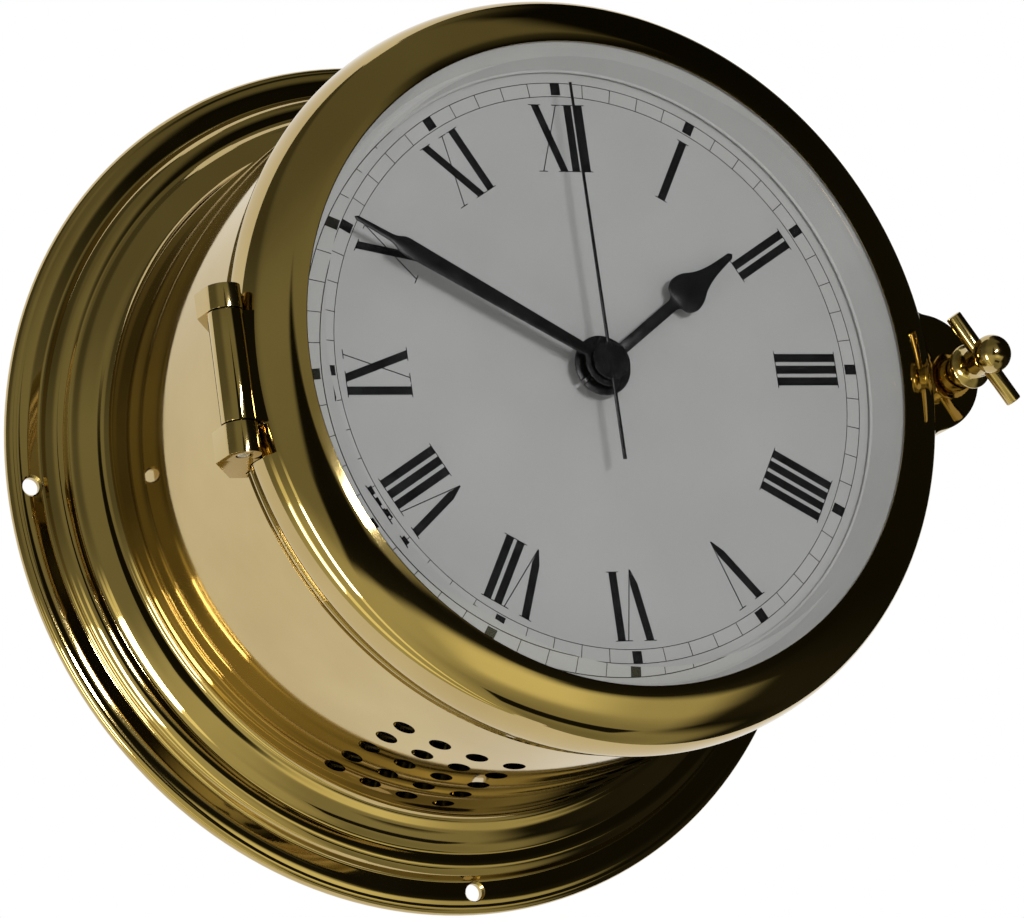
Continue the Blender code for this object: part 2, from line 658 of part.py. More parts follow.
def make_glass(pivot):
    """Bevelled glass and the pale ring that holds it against the bezel's lip from behind."""
    profile = [
        (0.0, GLASS_FRONT),
        (GLASS_FLAT_RADIUS, GLASS_FRONT),
        (GLASS_RADIUS, GLASS_REAR + GLASS_EDGE),
        (GLASS_RADIUS, GLASS_REAR),
        (0.0, GLASS_REAR),
    ]
    turned("glass", profile, GLASS, pivot, location=FROM_HINGE)
    top = GLASS_REAR - GAP
    step_radius = REHAUT_FOOT_RADIUS + REHAUT_STEP
    rehaut = [
        (REHAUT_TOP_RADIUS, top),
        (GLASS_RADIUS, top),
        (GLASS_RADIUS, top - 0.0040),
        (step_radius + REHAUT_WALL, REHAUT_FOOT_HEIGHT),
        (REHAUT_FOOT_RADIUS, REHAUT_FOOT_HEIGHT),
        (REHAUT_FOOT_RADIUS, REHAUT_FOOT_HEIGHT + REHAUT_STEP),
        (step_radius, REHAUT_FOOT_HEIGHT + REHAUT_STEP),
    ]
    turned("rehaut_ring", rehaut, REHAUT_WHITE, pivot, location=FROM_HINGE)


def bezel_space(name, parent, location):
    """The bezel's outside grown by the gap, as a cutter for what stands beside it."""
    points = bezel_outside(GAP)
    inside = BEZEL_INNER + 0.002
    profile = points + [(inside, BEZEL_REAR - GAP), (inside, points[3][1])]
    return turned(name, profile[3:], None, parent, location=location)


def tube_space(name, parent):
    """The tube's outside grown by the gap, as a cutter for what is fixed to it."""
    inside = TUBE_RADIUS * 0.8
    outside = tube_outside(GAP)
    foot = [(TUBE_RADIUS + GAP, COLLAR_HEIGHT), (inside, COLLAR_HEIGHT)]
    profile = [(inside, TUBE_FRONT + GAP)] + outside + foot
    return turned(name, profile, None, parent)


# Hinge

def knuckle_plan():
    """Plan of a knuckle in x and z: a round end on an arm that tapers to its foot on the tube.

    The round end runs on past the right, so that the bezel swings clear of the arm.
    """
    right = -TUBE_RADIUS * 0.95
    points = []
    for index in range(11):
        angle = math.radians(180 - 215 * index / 10)
        x = HINGE_X + BARREL_RADIUS * math.cos(angle)
        points.append((x, HINGE_HEIGHT + BARREL_RADIUS * math.sin(angle)))
    return points + [
        (right, HINGE_HEIGHT - BARREL_RADIUS * 0.7),
        (right, KNUCKLE_FOOT),
        (KNUCKLE_FOOT_LEFT, KNUCKLE_FOOT),
        (HINGE_X - BARREL_RADIUS, KNUCKLE_SHOULDER),
    ]


def upright_plate(name, plan, y_low, y_high, material, parent):
    """Extrude a plan in x and z along y."""
    flat = plate(name, [[(x, -z) for x, z in plan]], y_low, y_high, material, parent)
    flat.data.transform(Matrix.Rotation(math.radians(-90), 4, "X"))
    return flat


def make_hinge(root):
    """Two knuckles fixed to the tube above and below the bezel's barrel, and the pin."""
    near = BARREL_LENGTH / 2 + GAP
    top = near + UPPER_KNUCKLE_LENGTH
    bottom = near + LOWER_KNUCKLE_LENGTH
    bore = HINGE_PIN_RADIUS + GAP
    spaces = [bezel_space("knuckle_bezel_space", root, (0, 0, 0)), tube_space("knuckle_tube_space", root)]
    spaces.append(rod("knuckle_bore", (HINGE_X, -2 * bottom, HINGE_HEIGHT), (HINGE_X, 2 * top, HINGE_HEIGHT),
                      bore, None, root))
    upper = upright_plate("hinge_knuckle_upper", knuckle_plan(), near, top, BRASS, root)
    lower = upright_plate("hinge_knuckle_lower", knuckle_plan(), -bottom, -near, BRASS, root)
    cut(upper, *spaces)
    cut(lower, *spaces)
    rod("hinge_pin", (HINGE_X, -bottom, HINGE_HEIGHT), (HINGE_X, top, HINGE_HEIGHT), HINGE_PIN_RADIUS, STEEL,
        root)


# Lock

def ear_outline():
    """Outline of the lock's ear: a round ear that runs into the bezel's rim by two fillets."""
    ring = BEZEL_CENTRE_RADIUS + BEZEL_ROUNDING
    to_fillet = ring + EAR_FILLET
    ear_to_fillet = EAR_RADIUS + EAR_FILLET
    fillet_x = (to_fillet ** 2 - ear_to_fillet ** 2 + EAR_CENTRE_X ** 2) / (2 * EAR_CENTRE_X)
    fillet_y = math.sqrt(to_fillet ** 2 - fillet_x ** 2)
    towards_ring = math.atan2(-fillet_y, -fillet_x) % math.tau
    towards_ear = math.atan2(-fillet_y, EAR_CENTRE_X - fillet_x) % math.tau
    upper = []
    for index in range(6):
        angle = towards_ring + (towards_ear - towards_ring) * index / 5
        upper.append((fillet_x + EAR_FILLET * math.cos(angle), fillet_y + EAR_FILLET * math.sin(angle)))
    ear_start = math.atan2(fillet_y, fillet_x - EAR_CENTRE_X)
    nose = []
    for index in range(1, 16):
        angle = ear_start - 2 * ear_start * index / 16
        nose.append((EAR_CENTRE_X + EAR_RADIUS * math.cos(angle), EAR_RADIUS * math.sin(angle)))
    lower = [(x, -y) for x, y in reversed(upper)]
    inside = GROOVE_OUTER + 0.0010
    root_line = []
    for index in range(9):
        y = -upper[0][1] + 2 * upper[0][1] * index / 8
        root_line.append((math.sqrt(inside ** 2 - y ** 2), y))
    return upper + nose + lower + root_line


def make_lock(root, screw_pivot):
    """Lug on the case, captive collar, the turned screw with its ball head and the tommy bar."""
    lug_front = BEZEL_REAR - GAP
    lug = plate("lock_lug", [ear_outline()], LUG_REAR, lug_front, BRASS, root)
    chamfer(lug, EAR_EDGE)
    cut(lug, tube_space("lug_tube_space", root))
    cut(lug, rod("lug_hole", (LOCK_X, 0, SHANK_TIP - 2 * GAP), (LOCK_X, 0, lug_front + OVERCUT),
                 LUG_HOLE_RADIUS, None, root, 16))

    collar_low = EAR_FRONT + GAP
    collar_top = collar_low + COLLAR_LENGTH
    collar = [(EAR_HOLE_RADIUS, collar_top), (COLLAR_RADIUS, collar_top), (COLLAR_RADIUS, collar_low),
              (EAR_HOLE_RADIUS, collar_low)]
    turned("lock_collar", collar, BRASS, screw_pivot, MID_STEPS)
    rim_low = collar_top + GAP
    rim_top = rim_low + SKIRT_RIM
    flare = []
    for index in range(1, 6):
        part = index / 5
        radius = NECK_RADIUS + (SKIRT_RADIUS - NECK_RADIUS) * (1 - part) ** 2
        flare.append((radius, rim_top + (NECK_HEIGHT - rim_top) * part))
    neck_angle = math.degrees(math.asin(NECK_RADIUS / BALL_RADIUS)) - 90
    ball = arc(0.0, BALL_HEIGHT, BALL_RADIUS, neck_angle, 90, 8)
    profile = [
        (0.0, SHANK_TIP),
        (SHANK_TIP_RADIUS - 0.0004, SHANK_TIP),
        (SHANK_TIP_RADIUS, SHANK_TIP + 0.0004),
        (SHANK_TIP_RADIUS, BEZEL_REAR + GAP),
        (SHANK_RADIUS, BEZEL_REAR + 2 * GAP),
        (SHANK_RADIUS, rim_low),
        (SKIRT_RADIUS, rim_low),
        (SKIRT_RADIUS, rim_top),
    ]
    profile += flare + ball[:-1] + [(0.0, BALL_HEIGHT + BALL_RADIUS)]
    screw = turned("lock_screw", profile, BRASS, screw_pivot, MID_STEPS)
    direction = Vector((math.cos(TOMMY_ANGLE), math.sin(TOMMY_ANGLE), 0.0))
    middle = Vector((0, 0, TOMMY_HEIGHT))
    half = direction * TOMMY_LENGTH / 2
    cut(screw, rod("tommy_hole", middle - half, middle + half, TOMMY_RADIUS + GAP, None, screw_pivot, 16))
    rod("tommy_bar", middle - half, middle + half, TOMMY_RADIUS, BRASS, screw_pivot, 16, 0.0003)


# Hands

def placed_hand(name, outline, hub_radius, angle, low, high, parent):
    """Lay a hand's outline, drawn pointing up, at its clock angle, with a round hub."""
    turn = Matrix.Rotation(-angle, 2)
    points = [tuple(turn @ Vector(point)) for point in outline]
    hand = plate(name, [points], low, high, BLACK, parent)
    join(hand, rod(name + "_hub", (0, 0, low), (0, 0, high), hub_radius, None, parent, MID_STEPS))
    return hand


def both_sides(right, tip):
    """A pointed outline from its right side, mirrored about the hand's own line."""
    return right + [tip] + [(-x, y) for x, y in reversed(right)]


def spade_outline():
    """Hour hand: a plain shaft, a heart-shaped spade and a point."""
    length = HOUR_HAND_LENGTH
    stem = 0.00138
    right = [
        (stem, 0.0), (stem, 0.544 * length), (0.0020, 0.566 * length), (0.0036, 0.583 * length),
        (0.0045, 0.618 * length), (0.0046, 0.652 * length), (0.0040, 0.700 * length),
        (0.0028, 0.747 * length), (0.0019, 0.804 * length), (0.0013, 0.873 * length),
        (0.0008, 0.983 * length),
    ]
    return both_sides(right, (0.0, length))


def lance_outline():
    """Minute hand: widens towards its outer third, then steps in to a fine lance."""
    length = MINUTE_HAND_LENGTH
    right = [
        (0.0013, 0.0), (0.0021, 0.791 * length), (0.0020, 0.811 * length), (0.0011, 0.840 * length),
        (0.0008, 0.873 * length), (0.0005, 0.991 * length),
    ]
    return both_sides(right, (0.0, length))


def make_hands(hour_pivot, minute_pivot, second_pivot):
    hour_top = HOUR_HAND_HEIGHT + HAND_THICKNESS
    hour = placed_hand("hour_hand", spade_outline(), HOUR_HUB_RADIUS, HOUR_ANGLE, HOUR_HAND_HEIGHT, hour_top,
                       hour_pivot)
    slot = block("hour_slot", (-HOUR_HUB_SLOT / 2, -2 * HOUR_HUB_RADIUS, HOUR_HAND_HEIGHT - OVERCUT),
                 (HOUR_HUB_SLOT / 2, 0, hour_top + OVERCUT), None, hour_pivot)
    slot.data.transform(Matrix.Rotation(-HOUR_ANGLE, 4, "Z"))
    bore = rod("hour_bore", (0, 0, HOUR_HAND_HEIGHT - OVERCUT), (0, 0, hour_top + OVERCUT),
               HOUR_PIPE_RADIUS + GAP, None, hour_pivot, MID_STEPS)
    cut(hour, bore, slot)
    minute_top = MINUTE_HAND_HEIGHT + HAND_THICKNESS
    minute = placed_hand("minute_hand", lance_outline(), MINUTE_HUB_RADIUS, MINUTE_ANGLE, MINUTE_HAND_HEIGHT,
                         minute_top, minute_pivot)
    cut(minute, rod("minute_bore", (0, 0, MINUTE_HAND_HEIGHT - OVERCUT), (0, 0, minute_top + OVERCUT),
                    CENTRE_TUBE_RADIUS + GAP, None, minute_pivot, MID_STEPS))
    tail = SECOND_TAIL_WIDTH / 2
    tip = SECOND_TIP_WIDTH / 2
    needle = [(tail, -SECOND_TAIL_LENGTH), (tip, SECOND_HAND_LENGTH), (-tip, SECOND_HAND_LENGTH),
              (-tail, -SECOND_TAIL_LENGTH)]
    second_top = SECOND_HAND_HEIGHT + SECOND_HAND_THICKNESS
    second = placed_hand("second_hand", needle, SECOND_HUB_RADIUS, SECOND_ANGLE, SECOND_HAND_HEIGHT,
                         second_top, second_pivot)
    seat_top = SECOND_HAND_HEIGHT + SECOND_HAND_THICKNESS / 2
    cut(second, rod("second_seat", (0, 0, SECOND_HAND_HEIGHT - OVERCUT), (0, 0, seat_top),
                    SECOND_ARBOR_RADIUS + GAP, None, second_pivot, SMALL_STEPS))


# Movement

def gear_outline(teeth, spacing, partner, tip_angle):
    """Outline of a wheel or pinion with pointed teeth, one of them at tip_angle."""
    module = 2 * spacing / (teeth + partner)
    tip = module * (teeth / 2 + ADDENDUM)
    root = module * (teeth / 2 - DEDENDUM)
    points = []
    for index in range(teeth):
        angle = tip_angle + math.tau * index / teeth
        points.append(polar(tip, angle))
        points.append(polar(root, angle + math.pi / teeth))
    return points


def gear(name, teeth, spacing, partner, bearing, level, is_pinion, material, parent):
    """A toothed layer that meshes with its partner, which lies at the given bearing from it."""
    tip_angle = bearing if is_pinion else bearing + math.pi / teeth
    return plate(name, [gear_outline(teeth, spacing, partner, tip_angle)], level, level + WHEEL_THICKNESS,
                 material, parent)


def make_train(pivots):
    """Rotor, intermediate, seconds, third, centre, minute and hour wheels on their arbors."""
    front = HOUSING_FRONT - HOUSING_WALL
    rear_pivot = BRIDGE_FRONT - BRIDGE_THICKNESS * 0.8
    opposite = math.pi

    rotor = rod("rotor", (0, 0, rear_pivot), (0, 0, ROTOR_LOW + ROTOR_LENGTH + 0.0010), ARBOR_RADIUS, STEEL,
                pivots["rotor"])
    join(rotor, gear("rotor_pinion", PINION_LEAVES, ROTOR_SPACING, INTERMEDIATE_TEETH,
                     ROTOR_BEARING + opposite, ROTOR_LEVEL, True, None, pivots["rotor"]))
    join(rotor, rod("rotor_magnet", (0, 0, ROTOR_LOW), (0, 0, ROTOR_LOW + ROTOR_LENGTH), ROTOR_RADIUS, None,
                    pivots["rotor"], 16))

    parent = pivots["intermediate"]
    wheel = gear("intermediate_wheel", INTERMEDIATE_TEETH, ROTOR_SPACING, PINION_LEAVES, ROTOR_BEARING,
                 ROTOR_LEVEL, False, NYLON, parent)
    join(wheel, gear("intermediate_pinion", PINION_LEAVES, INTERMEDIATE_SPACING, SECOND_TEETH,
                     INTERMEDIATE_BEARING + opposite, SECOND_LEVEL, True, None, parent))
    join(wheel, rod("intermediate_arbor", (0, 0, rear_pivot), (0, 0, front - GAP), ARBOR_RADIUS * 1.5, None,
                    parent))

    parent = pivots["second"]
    wheel = gear("second_wheel", SECOND_TEETH, INTERMEDIATE_SPACING, PINION_LEAVES, INTERMEDIATE_BEARING,
                 SECOND_LEVEL, False, NYLON, parent)
    join(wheel, gear("second_pinion", PINION_LEAVES, THIRD_SPACING, THIRD_TEETH, THIRD_BEARING,
                     THIRD_LEVEL, True, None, parent))
    join(wheel, rod("second_arbor", (0, 0, rear_pivot), (0, 0, SECOND_HAND_HEIGHT),
                    SECOND_ARBOR_RADIUS, None, parent))

    parent = pivots["third"]
    wheel = gear("third_wheel", THIRD_TEETH, THIRD_SPACING, PINION_LEAVES, THIRD_BEARING + opposite,
                 THIRD_LEVEL, False, NYLON, parent)
    join(wheel, gear("third_pinion", PINION_LEAVES, THIRD_SPACING, CENTRE_TEETH, THIRD_BEARING + opposite,
                     CENTRE_LEVEL, True, None, parent))
    join(wheel, rod("third_arbor", (0, 0, rear_pivot), (0, 0, front - GAP), ARBOR_RADIUS, None, parent))

    parent = pivots["centre"]
    wheel = gear("centre_wheel", CENTRE_TEETH, THIRD_SPACING, PINION_LEAVES, THIRD_BEARING, CENTRE_LEVEL,
                 False, NYLON, parent)
    join(wheel, gear("cannon_pinion", PINION_LEAVES, MINUTE_SPACING, MINUTE_TEETH, MINUTE_BEARING,
                     MINUTE_LEVEL, True, None, parent))
    tube_top = MINUTE_HAND_HEIGHT + HAND_THICKNESS + GAP
    join(wheel, rod("centre_tube", (0, 0, CENTRE_LEVEL), (0, 0, tube_top), CENTRE_TUBE_RADIUS, None, parent))
    cut(wheel, rod("centre_tube_bore", (0, 0, CENTRE_LEVEL - OVERCUT), (0, 0, tube_top + OVERCUT),
                   CENTRE_TUBE_BORE, None, parent))

    parent = pivots["minute"]
    wheel = gear("minute_wheel", MINUTE_TEETH, MINUTE_SPACING, PINION_LEAVES, MINUTE_BEARING + opposite,
                 MINUTE_LEVEL, False, NYLON, parent)
    join(wheel, gear("minute_pinion", PINION_LEAVES, MINUTE_SPACING, HOUR_TEETH, MINUTE_BEARING + opposite,
                     HOUR_LEVEL, True, None, parent))
    knob_top = HOUSING_REAR - COVER_THICKNESS - 2 * GAP
    join(wheel, rod("minute_arbor", (0, 0, knob_top - KNOB_THICKNESS * 0.6), (0, 0, front - GAP),
                    MINUTE_ARBOR_RADIUS, None, parent))
    knob = rod("setting_knob", (0, 0, knob_top - KNOB_THICKNESS), (0, 0, knob_top), KNOB_RADIUS, PLASTIC,
               parent, 18, 0.0004)
    cut(knob, rod("knob_bore", (0, 0, knob_top - KNOB_THICKNESS * 0.6 - GAP), (0, 0, knob_top + OVERCUT),
                  MINUTE_ARBOR_RADIUS + GAP, None, parent))

    parent = pivots["hour"]
    wheel = gear("hour_wheel", HOUR_TEETH, MINUTE_SPACING, PINION_LEAVES, MINUTE_BEARING, HOUR_LEVEL, False,
                 NYLON, parent)
    pipe_top = HOUR_HAND_HEIGHT + HAND_THICKNESS + GAP
    join(wheel, rod("hour_pipe", (0, 0, HOUR_LEVEL), (0, 0, pipe_top), HOUR_PIPE_RADIUS, None, parent))
    cut(wheel, rod("hour_pipe_bore", (0, 0, HOUR_LEVEL - OVERCUT), (0, 0, pipe_top + OVERCUT), HOUR_PIPE_BORE,
                   None, parent))


def make_movement(root, places):
    """Housing with its threaded bushing, cover, nut, bridge, stator, coil, board and cell."""
    half = HOUSING_HALF
    inner = half - HOUSING_WALL
    front = HOUSING_FRONT
    housing = block("movement_housing", (-half, -half, HOUSING_REAR), (half, half, front), PLASTIC, root)
    cut(housing, block("housing_space", (-inner, -inner, HOUSING_REAR - OVERCUT),
                       (inner, inner, front - HOUSING_WALL), None, root))
    join(housing, rod("bushing", (0, 0, front - HOUSING_WALL / 2), (0, 0, BUSHING_TOP), BUSHING_RADIUS, None,
                      root, MID_STEPS))
    cut(housing, rod("bushing_bore", (0, 0, front - 2 * HOUSING_WALL), (0, 0, BUSHING_TOP + OVERCUT),
                     BUSHING_BORE, None, root, MID_STEPS))
    cover_top = HOUSING_REAR - GAP
    minute_x, minute_y = places["minute"]
    cover = block("movement_cover", (-half, -half, cover_top - COVER_THICKNESS), (half, half, cover_top),
                  PLASTIC, root)
    through = 3 * COVER_THICKNESS
    cut(cover, rod("cover_hole", (minute_x, minute_y, cover_top - through),
                   (minute_x, minute_y, cover_top + through), MINUTE_ARBOR_RADIUS * 2, None, root))
    nut_low = DIAL_FRONT + GAP
    plate("dial_nut", [circle(NUT_RADIUS, 6), circle(BUSHING_RADIUS + GAP, 16)], nut_low,
          nut_low + NUT_THICKNESS, BRASS, root)

    edge = inner - GAP
    holes = []
    for name, place in places.items():
        pivot = MINUTE_ARBOR_RADIUS if name == "minute" else SECOND_ARBOR_RADIUS
        if name not in ("centre", "hour"):
            holes.append(circle(pivot + GAP, 8, place))
    bridge_low = BRIDGE_FRONT - BRIDGE_THICKNESS
    plate("train_bridge", [box_outline(-edge, edge, -0.0115, edge)] + holes, bridge_low, BRIDGE_FRONT, BRASS,
          root)

    rotor_x, rotor_y = places["rotor"]
    hole = ROTOR_RADIUS + STATOR_CLEARANCE
    band_low = rotor_y - hole - 0.0010
    window_low = rotor_y + hole + 0.0005
    window_high = window_low + 0.0019
    bar_high = window_high + 0.0020
    side = COIL_LENGTH / 2 + 0.0025
    stator = [box_outline(-side, side, band_low, bar_high),
              box_outline(-side + 0.0022, side - 0.0022, window_low, window_high),
              circle(hole, 16, (rotor_x, rotor_y))]
    plate("stator", stator, STATOR_LEVEL, STATOR_LEVEL + STATOR_THICKNESS, STEEL, root)
    bar_y = (window_high + bar_high) / 2
    bar_z = STATOR_LEVEL + STATOR_THICKNESS / 2
    half_coil = COIL_LENGTH / 2
    coil = rod("coil", (-half_coil, bar_y, bar_z), (half_coil, bar_y, bar_z), COIL_HALF_HEIGHT * 0.98, COPPER,
               root, 16)
    cut(coil, block("coil_core_space",
                    (-COIL_LENGTH, window_high - GAP, STATOR_LEVEL - GAP),
                    (COIL_LENGTH, bar_high + GAP, STATOR_LEVEL + STATOR_THICKNESS + GAP), None, root))

    plate("circuit_board",
          [box_outline(-edge, edge, -0.0110, edge), circle(MINUTE_ARBOR_RADIUS * 2, 10, places["minute"])],
          BOARD_HEIGHT, BOARD_HEIGHT + BOARD_THICKNESS, BOARD_GREEN, root)
    crystal_z = BOARD_HEIGHT - GAP - 0.0008
    rod("quartz_crystal", (0.010, 0.012, crystal_z), (0.010, 0.018, crystal_z), 0.0008, STEEL, root, 10)
    rod("movement_cell", (-CELL_HALF_LENGTH, CELL_Y, CELL_HEIGHT), (CELL_HALF_LENGTH, CELL_Y, CELL_HEIGHT),
        CELL_RADIUS, CELL_GREEN, root, 16, 0.0004)
    for label, side_sign in (("positive", 1), ("negative", -1)):
        near = side_sign * (CELL_HALF_LENGTH + GAP)
        far = side_sign * (inner - GAP)
        low_x, high_x = min(near, far), max(near, far)
        block(f"cell_contact_{label}", (low_x, CELL_Y - 0.0035, CELL_HEIGHT - 0.0045),
              (high_x, CELL_Y + 0.0035, CELL_HEIGHT + 0.0045), STEEL, root)


# Loudspeaker and strike works

def make_speaker(root):
    chord = math.sqrt((TUBE_RADIUS - TUBE_WALL) ** 2 - (BAFFLE_Y - BAFFLE_THICKNESS) ** 2) - 2 * GAP
    facing = bpy.data.objects.new("speaker_axis", None)
    facing.parent = root
    facing.location = (0, BAFFLE_Y, SPEAKER_HEIGHT)
    facing.rotation_euler = (math.radians(-90), 0, 0)
    CLOCK.objects.link(facing)
    opening = SPEAKER_RADIUS - 0.0035
    edge = box_outline(-chord, chord, SPEAKER_HEIGHT - BAFFLE_HIGH, SPEAKER_HEIGHT - BAFFLE_LOW)
    plate("speaker_baffle", [edge, circle(opening, MID_STEPS)], -BAFFLE_THICKNESS, 0.0, PLASTIC, facing)
    basket = SPEAKER_MAGNET_RADIUS * 0.8
    wall = 0.0010
    low = GAP
    frame_profile = [
        (opening, low),
        (SPEAKER_RADIUS, low),
        (SPEAKER_RADIUS, low + wall),
        (opening + wall, low + wall),
        (opening + wall, low + 2.4 * wall),
        (basket + 2 * wall, SPEAKER_DEPTH),
        (basket - 3 * wall, SPEAKER_DEPTH),
        (basket - 3 * wall, SPEAKER_DEPTH - wall),
        (basket, SPEAKER_DEPTH - wall),
        (opening - wall / 2, low + 2.2 * wall),
        (opening, low + 1.8 * wall),
    ]
    turned("speaker_frame", frame_profile, STEEL, facing, MID_STEPS)
    cone_low = low + 0.0006
    cone_profile = [
        (0.0, cone_low + 0.0046), (0.0050, cone_low + 0.0034), (opening - 3 * GAP, cone_low + 0.0006),
        (opening - 3 * GAP, cone_low), (0.0050, cone_low + 0.0028), (0.0, cone_low + 0.0040),
    ]
    turned("speaker_cone", cone_profile, PAPER_BLACK, facing, MID_STEPS)
    magnet_low = SPEAKER_DEPTH + GAP
    magnet_profile = [(0.0, magnet_low + SPEAKER_MAGNET_DEPTH),
                      (SPEAKER_MAGNET_RADIUS, magnet_low + SPEAKER_MAGNET_DEPTH),
                      (SPEAKER_MAGNET_RADIUS, magnet_low), (0.0, magnet_low)]
    turned("speaker_magnet", magnet_profile, STEEL, facing, MID_STEPS)


def make_strike_works(root):
    low = BACK_PLATE_THICKNESS + GAP
    width, height, depth = STRIKE_BOX
    block("strike_module", (-width / 2, STRIKE_BOX_Y - height / 2, low),
          (width / 2, STRIKE_BOX_Y + height / 2, low + depth), PLASTIC, root, edge=0.0015)
    width, height, depth = HOLDER_BOX
    holder = block("cell_holder", (-width / 2, HOLDER_Y - height / 2, low),
                   (width / 2, HOLDER_Y + height / 2, low + depth), PLASTIC, root)
    radius = CELL_RADIUS
    half_length = CELL_HALF_LENGTH
    for index, side in enumerate((-1, 1)):
        y = HOLDER_Y + side * (radius + 0.0010)
        z = low + 0.0015 + radius + GAP
        space = rod(f"cell_space_{index + 1}", (-half_length - 0.001, y, z), (half_length + 0.001, y, z),
                    radius + GAP, None, root, 16)
        cut(holder, space)
        rod(f"strike_cell_{index + 1}", (-half_length, y, z), (half_length, y, z), radius, CELL_GREEN, root,
            16, 0.0004)


def make_pivot(name, location, parent):
    pivot = bpy.data.objects.new(name, None)
    pivot.location = location
    pivot.parent = parent
    CLOCK.objects.link(pivot)
    return pivot


clear_scene()
CLOCK = make_collection("marine_clock")
CUTTERS = make_collection("cutters")

BRASS = make_material("polished_brass", (0.80, 0.62, 0.30), 0.08, 1.0)
STEEL = make_material("steel", (0.62, 0.62, 0.60), 0.30, 1.0)
PLATE_BLACK = make_material("black_plate", (0.03, 0.03, 0.03), 0.45, 0.0)
PAN_GREY = make_material("pan_grey", (0.55, 0.55, 0.54), 0.5, 0.0)
ENAMEL = make_material("dial_enamel", (0.72, 0.72, 0.71), 0.4, 0.0)
REHAUT_WHITE = make_material("rehaut_white", (0.80, 0.80, 0.78), 0.4, 0.0)
GLASS = make_material("clear_glass", (0.96, 0.97, 0.97), 0.02, 0.0)
GLASS.node_tree.nodes["Principled BSDF"].inputs["Transmission Weight"].default_value = 1.0
BLACK = make_material("hand_black", (0.01, 0.01, 0.01), 0.35, 0.0)
PLASTIC = make_material("black_plastic", (0.02, 0.02, 0.02), 0.5, 0.0)
NYLON = make_material("wheel_nylon", (0.80, 0.79, 0.74), 0.4, 0.0)
COPPER = make_material("coil_copper", (0.72, 0.38, 0.20), 0.35, 1.0)
BOARD_GREEN = make_material("board_green", (0.05, 0.22, 0.10), 0.5, 0.0)
CELL_GREEN = make_material("cell_sleeve", (0.10, 0.12, 0.11), 0.35, 0.0)
PAPER_BLACK = make_material("cone_paper", (0.05, 0.05, 0.05), 0.8, 0.0)

CLOCK_SPACE = make_pivot("clock_space", (0, 0, 0), None)
CLOCK_SPACE.rotation_euler = (math.radians(90), 0, 0)
BEZEL_PIVOT = make_pivot("bezel_hinge_axis", (HINGE_X, 0, HINGE_HEIGHT), CLOCK_SPACE)
FROM_HINGE = (-HINGE_X, 0.0, -HINGE_HEIGHT)
SCREW_PIVOT = make_pivot("lock_screw_axis", (LOCK_X, 0, 0), CLOCK_SPACE)

INTERMEDIATE_PLACE = polar(INTERMEDIATE_SPACING, INTERMEDIATE_BEARING)
ROTOR_OFFSET = polar(ROTOR_SPACING, ROTOR_BEARING)
PLACES = {
    "rotor": (INTERMEDIATE_PLACE[0] + ROTOR_OFFSET[0], INTERMEDIATE_PLACE[1] + ROTOR_OFFSET[1]),
    "intermediate": INTERMEDIATE_PLACE,
    "second": (0.0, 0.0),
    "third": polar(THIRD_SPACING, THIRD_BEARING),
    "centre": (0.0, 0.0),
    "minute": polar(MINUTE_SPACING, MINUTE_BEARING),
    "hour": (0.0, 0.0),
}
PIVOTS = {name: make_pivot(f"{name}_axis", (*place, 0.0), CLOCK_SPACE) for name, place in PLACES.items()}

make_flange(CLOCK_SPACE)
make_tube(CLOCK_SPACE)
make_back(CLOCK_SPACE)
make_dial_parts(CLOCK_SPACE)
make_bezel(BEZEL_PIVOT)
make_glass(BEZEL_PIVOT)
make_hinge(CLOCK_SPACE)
make_lock(CLOCK_SPACE, SCREW_PIVOT)
make_train(PIVOTS)
make_hands(PIVOTS["hour"], PIVOTS["centre"], PIVOTS["second"])
make_movement(CLOCK_SPACE, PLACES)
make_speaker(CLOCK_SPACE)
make_strike_works(CLOCK_SPACE)
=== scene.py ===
"""Looks of the marine clock: finer brass, glass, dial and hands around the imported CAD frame.

Pieces are drawn in clock space, as the CAD is: x to the right, y to twelve o'clock and z out of
the wall towards the viewer. in_world() turns a point of that space into the frame's axes, where
+Z is up and the dial faces -Y. Sizes are in metres.
"""
import math

import bmesh
import bpy
import numpy as np
from mathutils import Matrix, Vector


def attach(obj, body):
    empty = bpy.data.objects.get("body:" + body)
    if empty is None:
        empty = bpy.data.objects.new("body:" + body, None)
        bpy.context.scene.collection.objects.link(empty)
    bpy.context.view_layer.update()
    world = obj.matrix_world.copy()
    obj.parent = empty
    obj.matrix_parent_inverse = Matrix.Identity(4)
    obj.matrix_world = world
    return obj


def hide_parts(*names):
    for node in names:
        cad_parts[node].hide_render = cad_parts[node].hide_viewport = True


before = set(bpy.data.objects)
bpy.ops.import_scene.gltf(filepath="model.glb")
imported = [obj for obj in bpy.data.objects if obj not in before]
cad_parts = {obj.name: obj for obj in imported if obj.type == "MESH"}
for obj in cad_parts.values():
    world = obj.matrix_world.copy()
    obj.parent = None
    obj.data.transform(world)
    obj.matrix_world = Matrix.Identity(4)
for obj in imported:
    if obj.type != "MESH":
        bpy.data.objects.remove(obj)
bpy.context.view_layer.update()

# Camera: where it looks from, and what the photograph's frame is
HEADING = math.radians(28.81)
PITCH = math.radians(13.93)
ROLL = math.radians(-8.06)
CAMERA_DISTANCE = 1.4366
AIM_RIGHT = 0.02438
AIM_DOWN = -0.00664
SENSOR_WIDTH = 36.0
FOCAL_LENGTH = 211.3

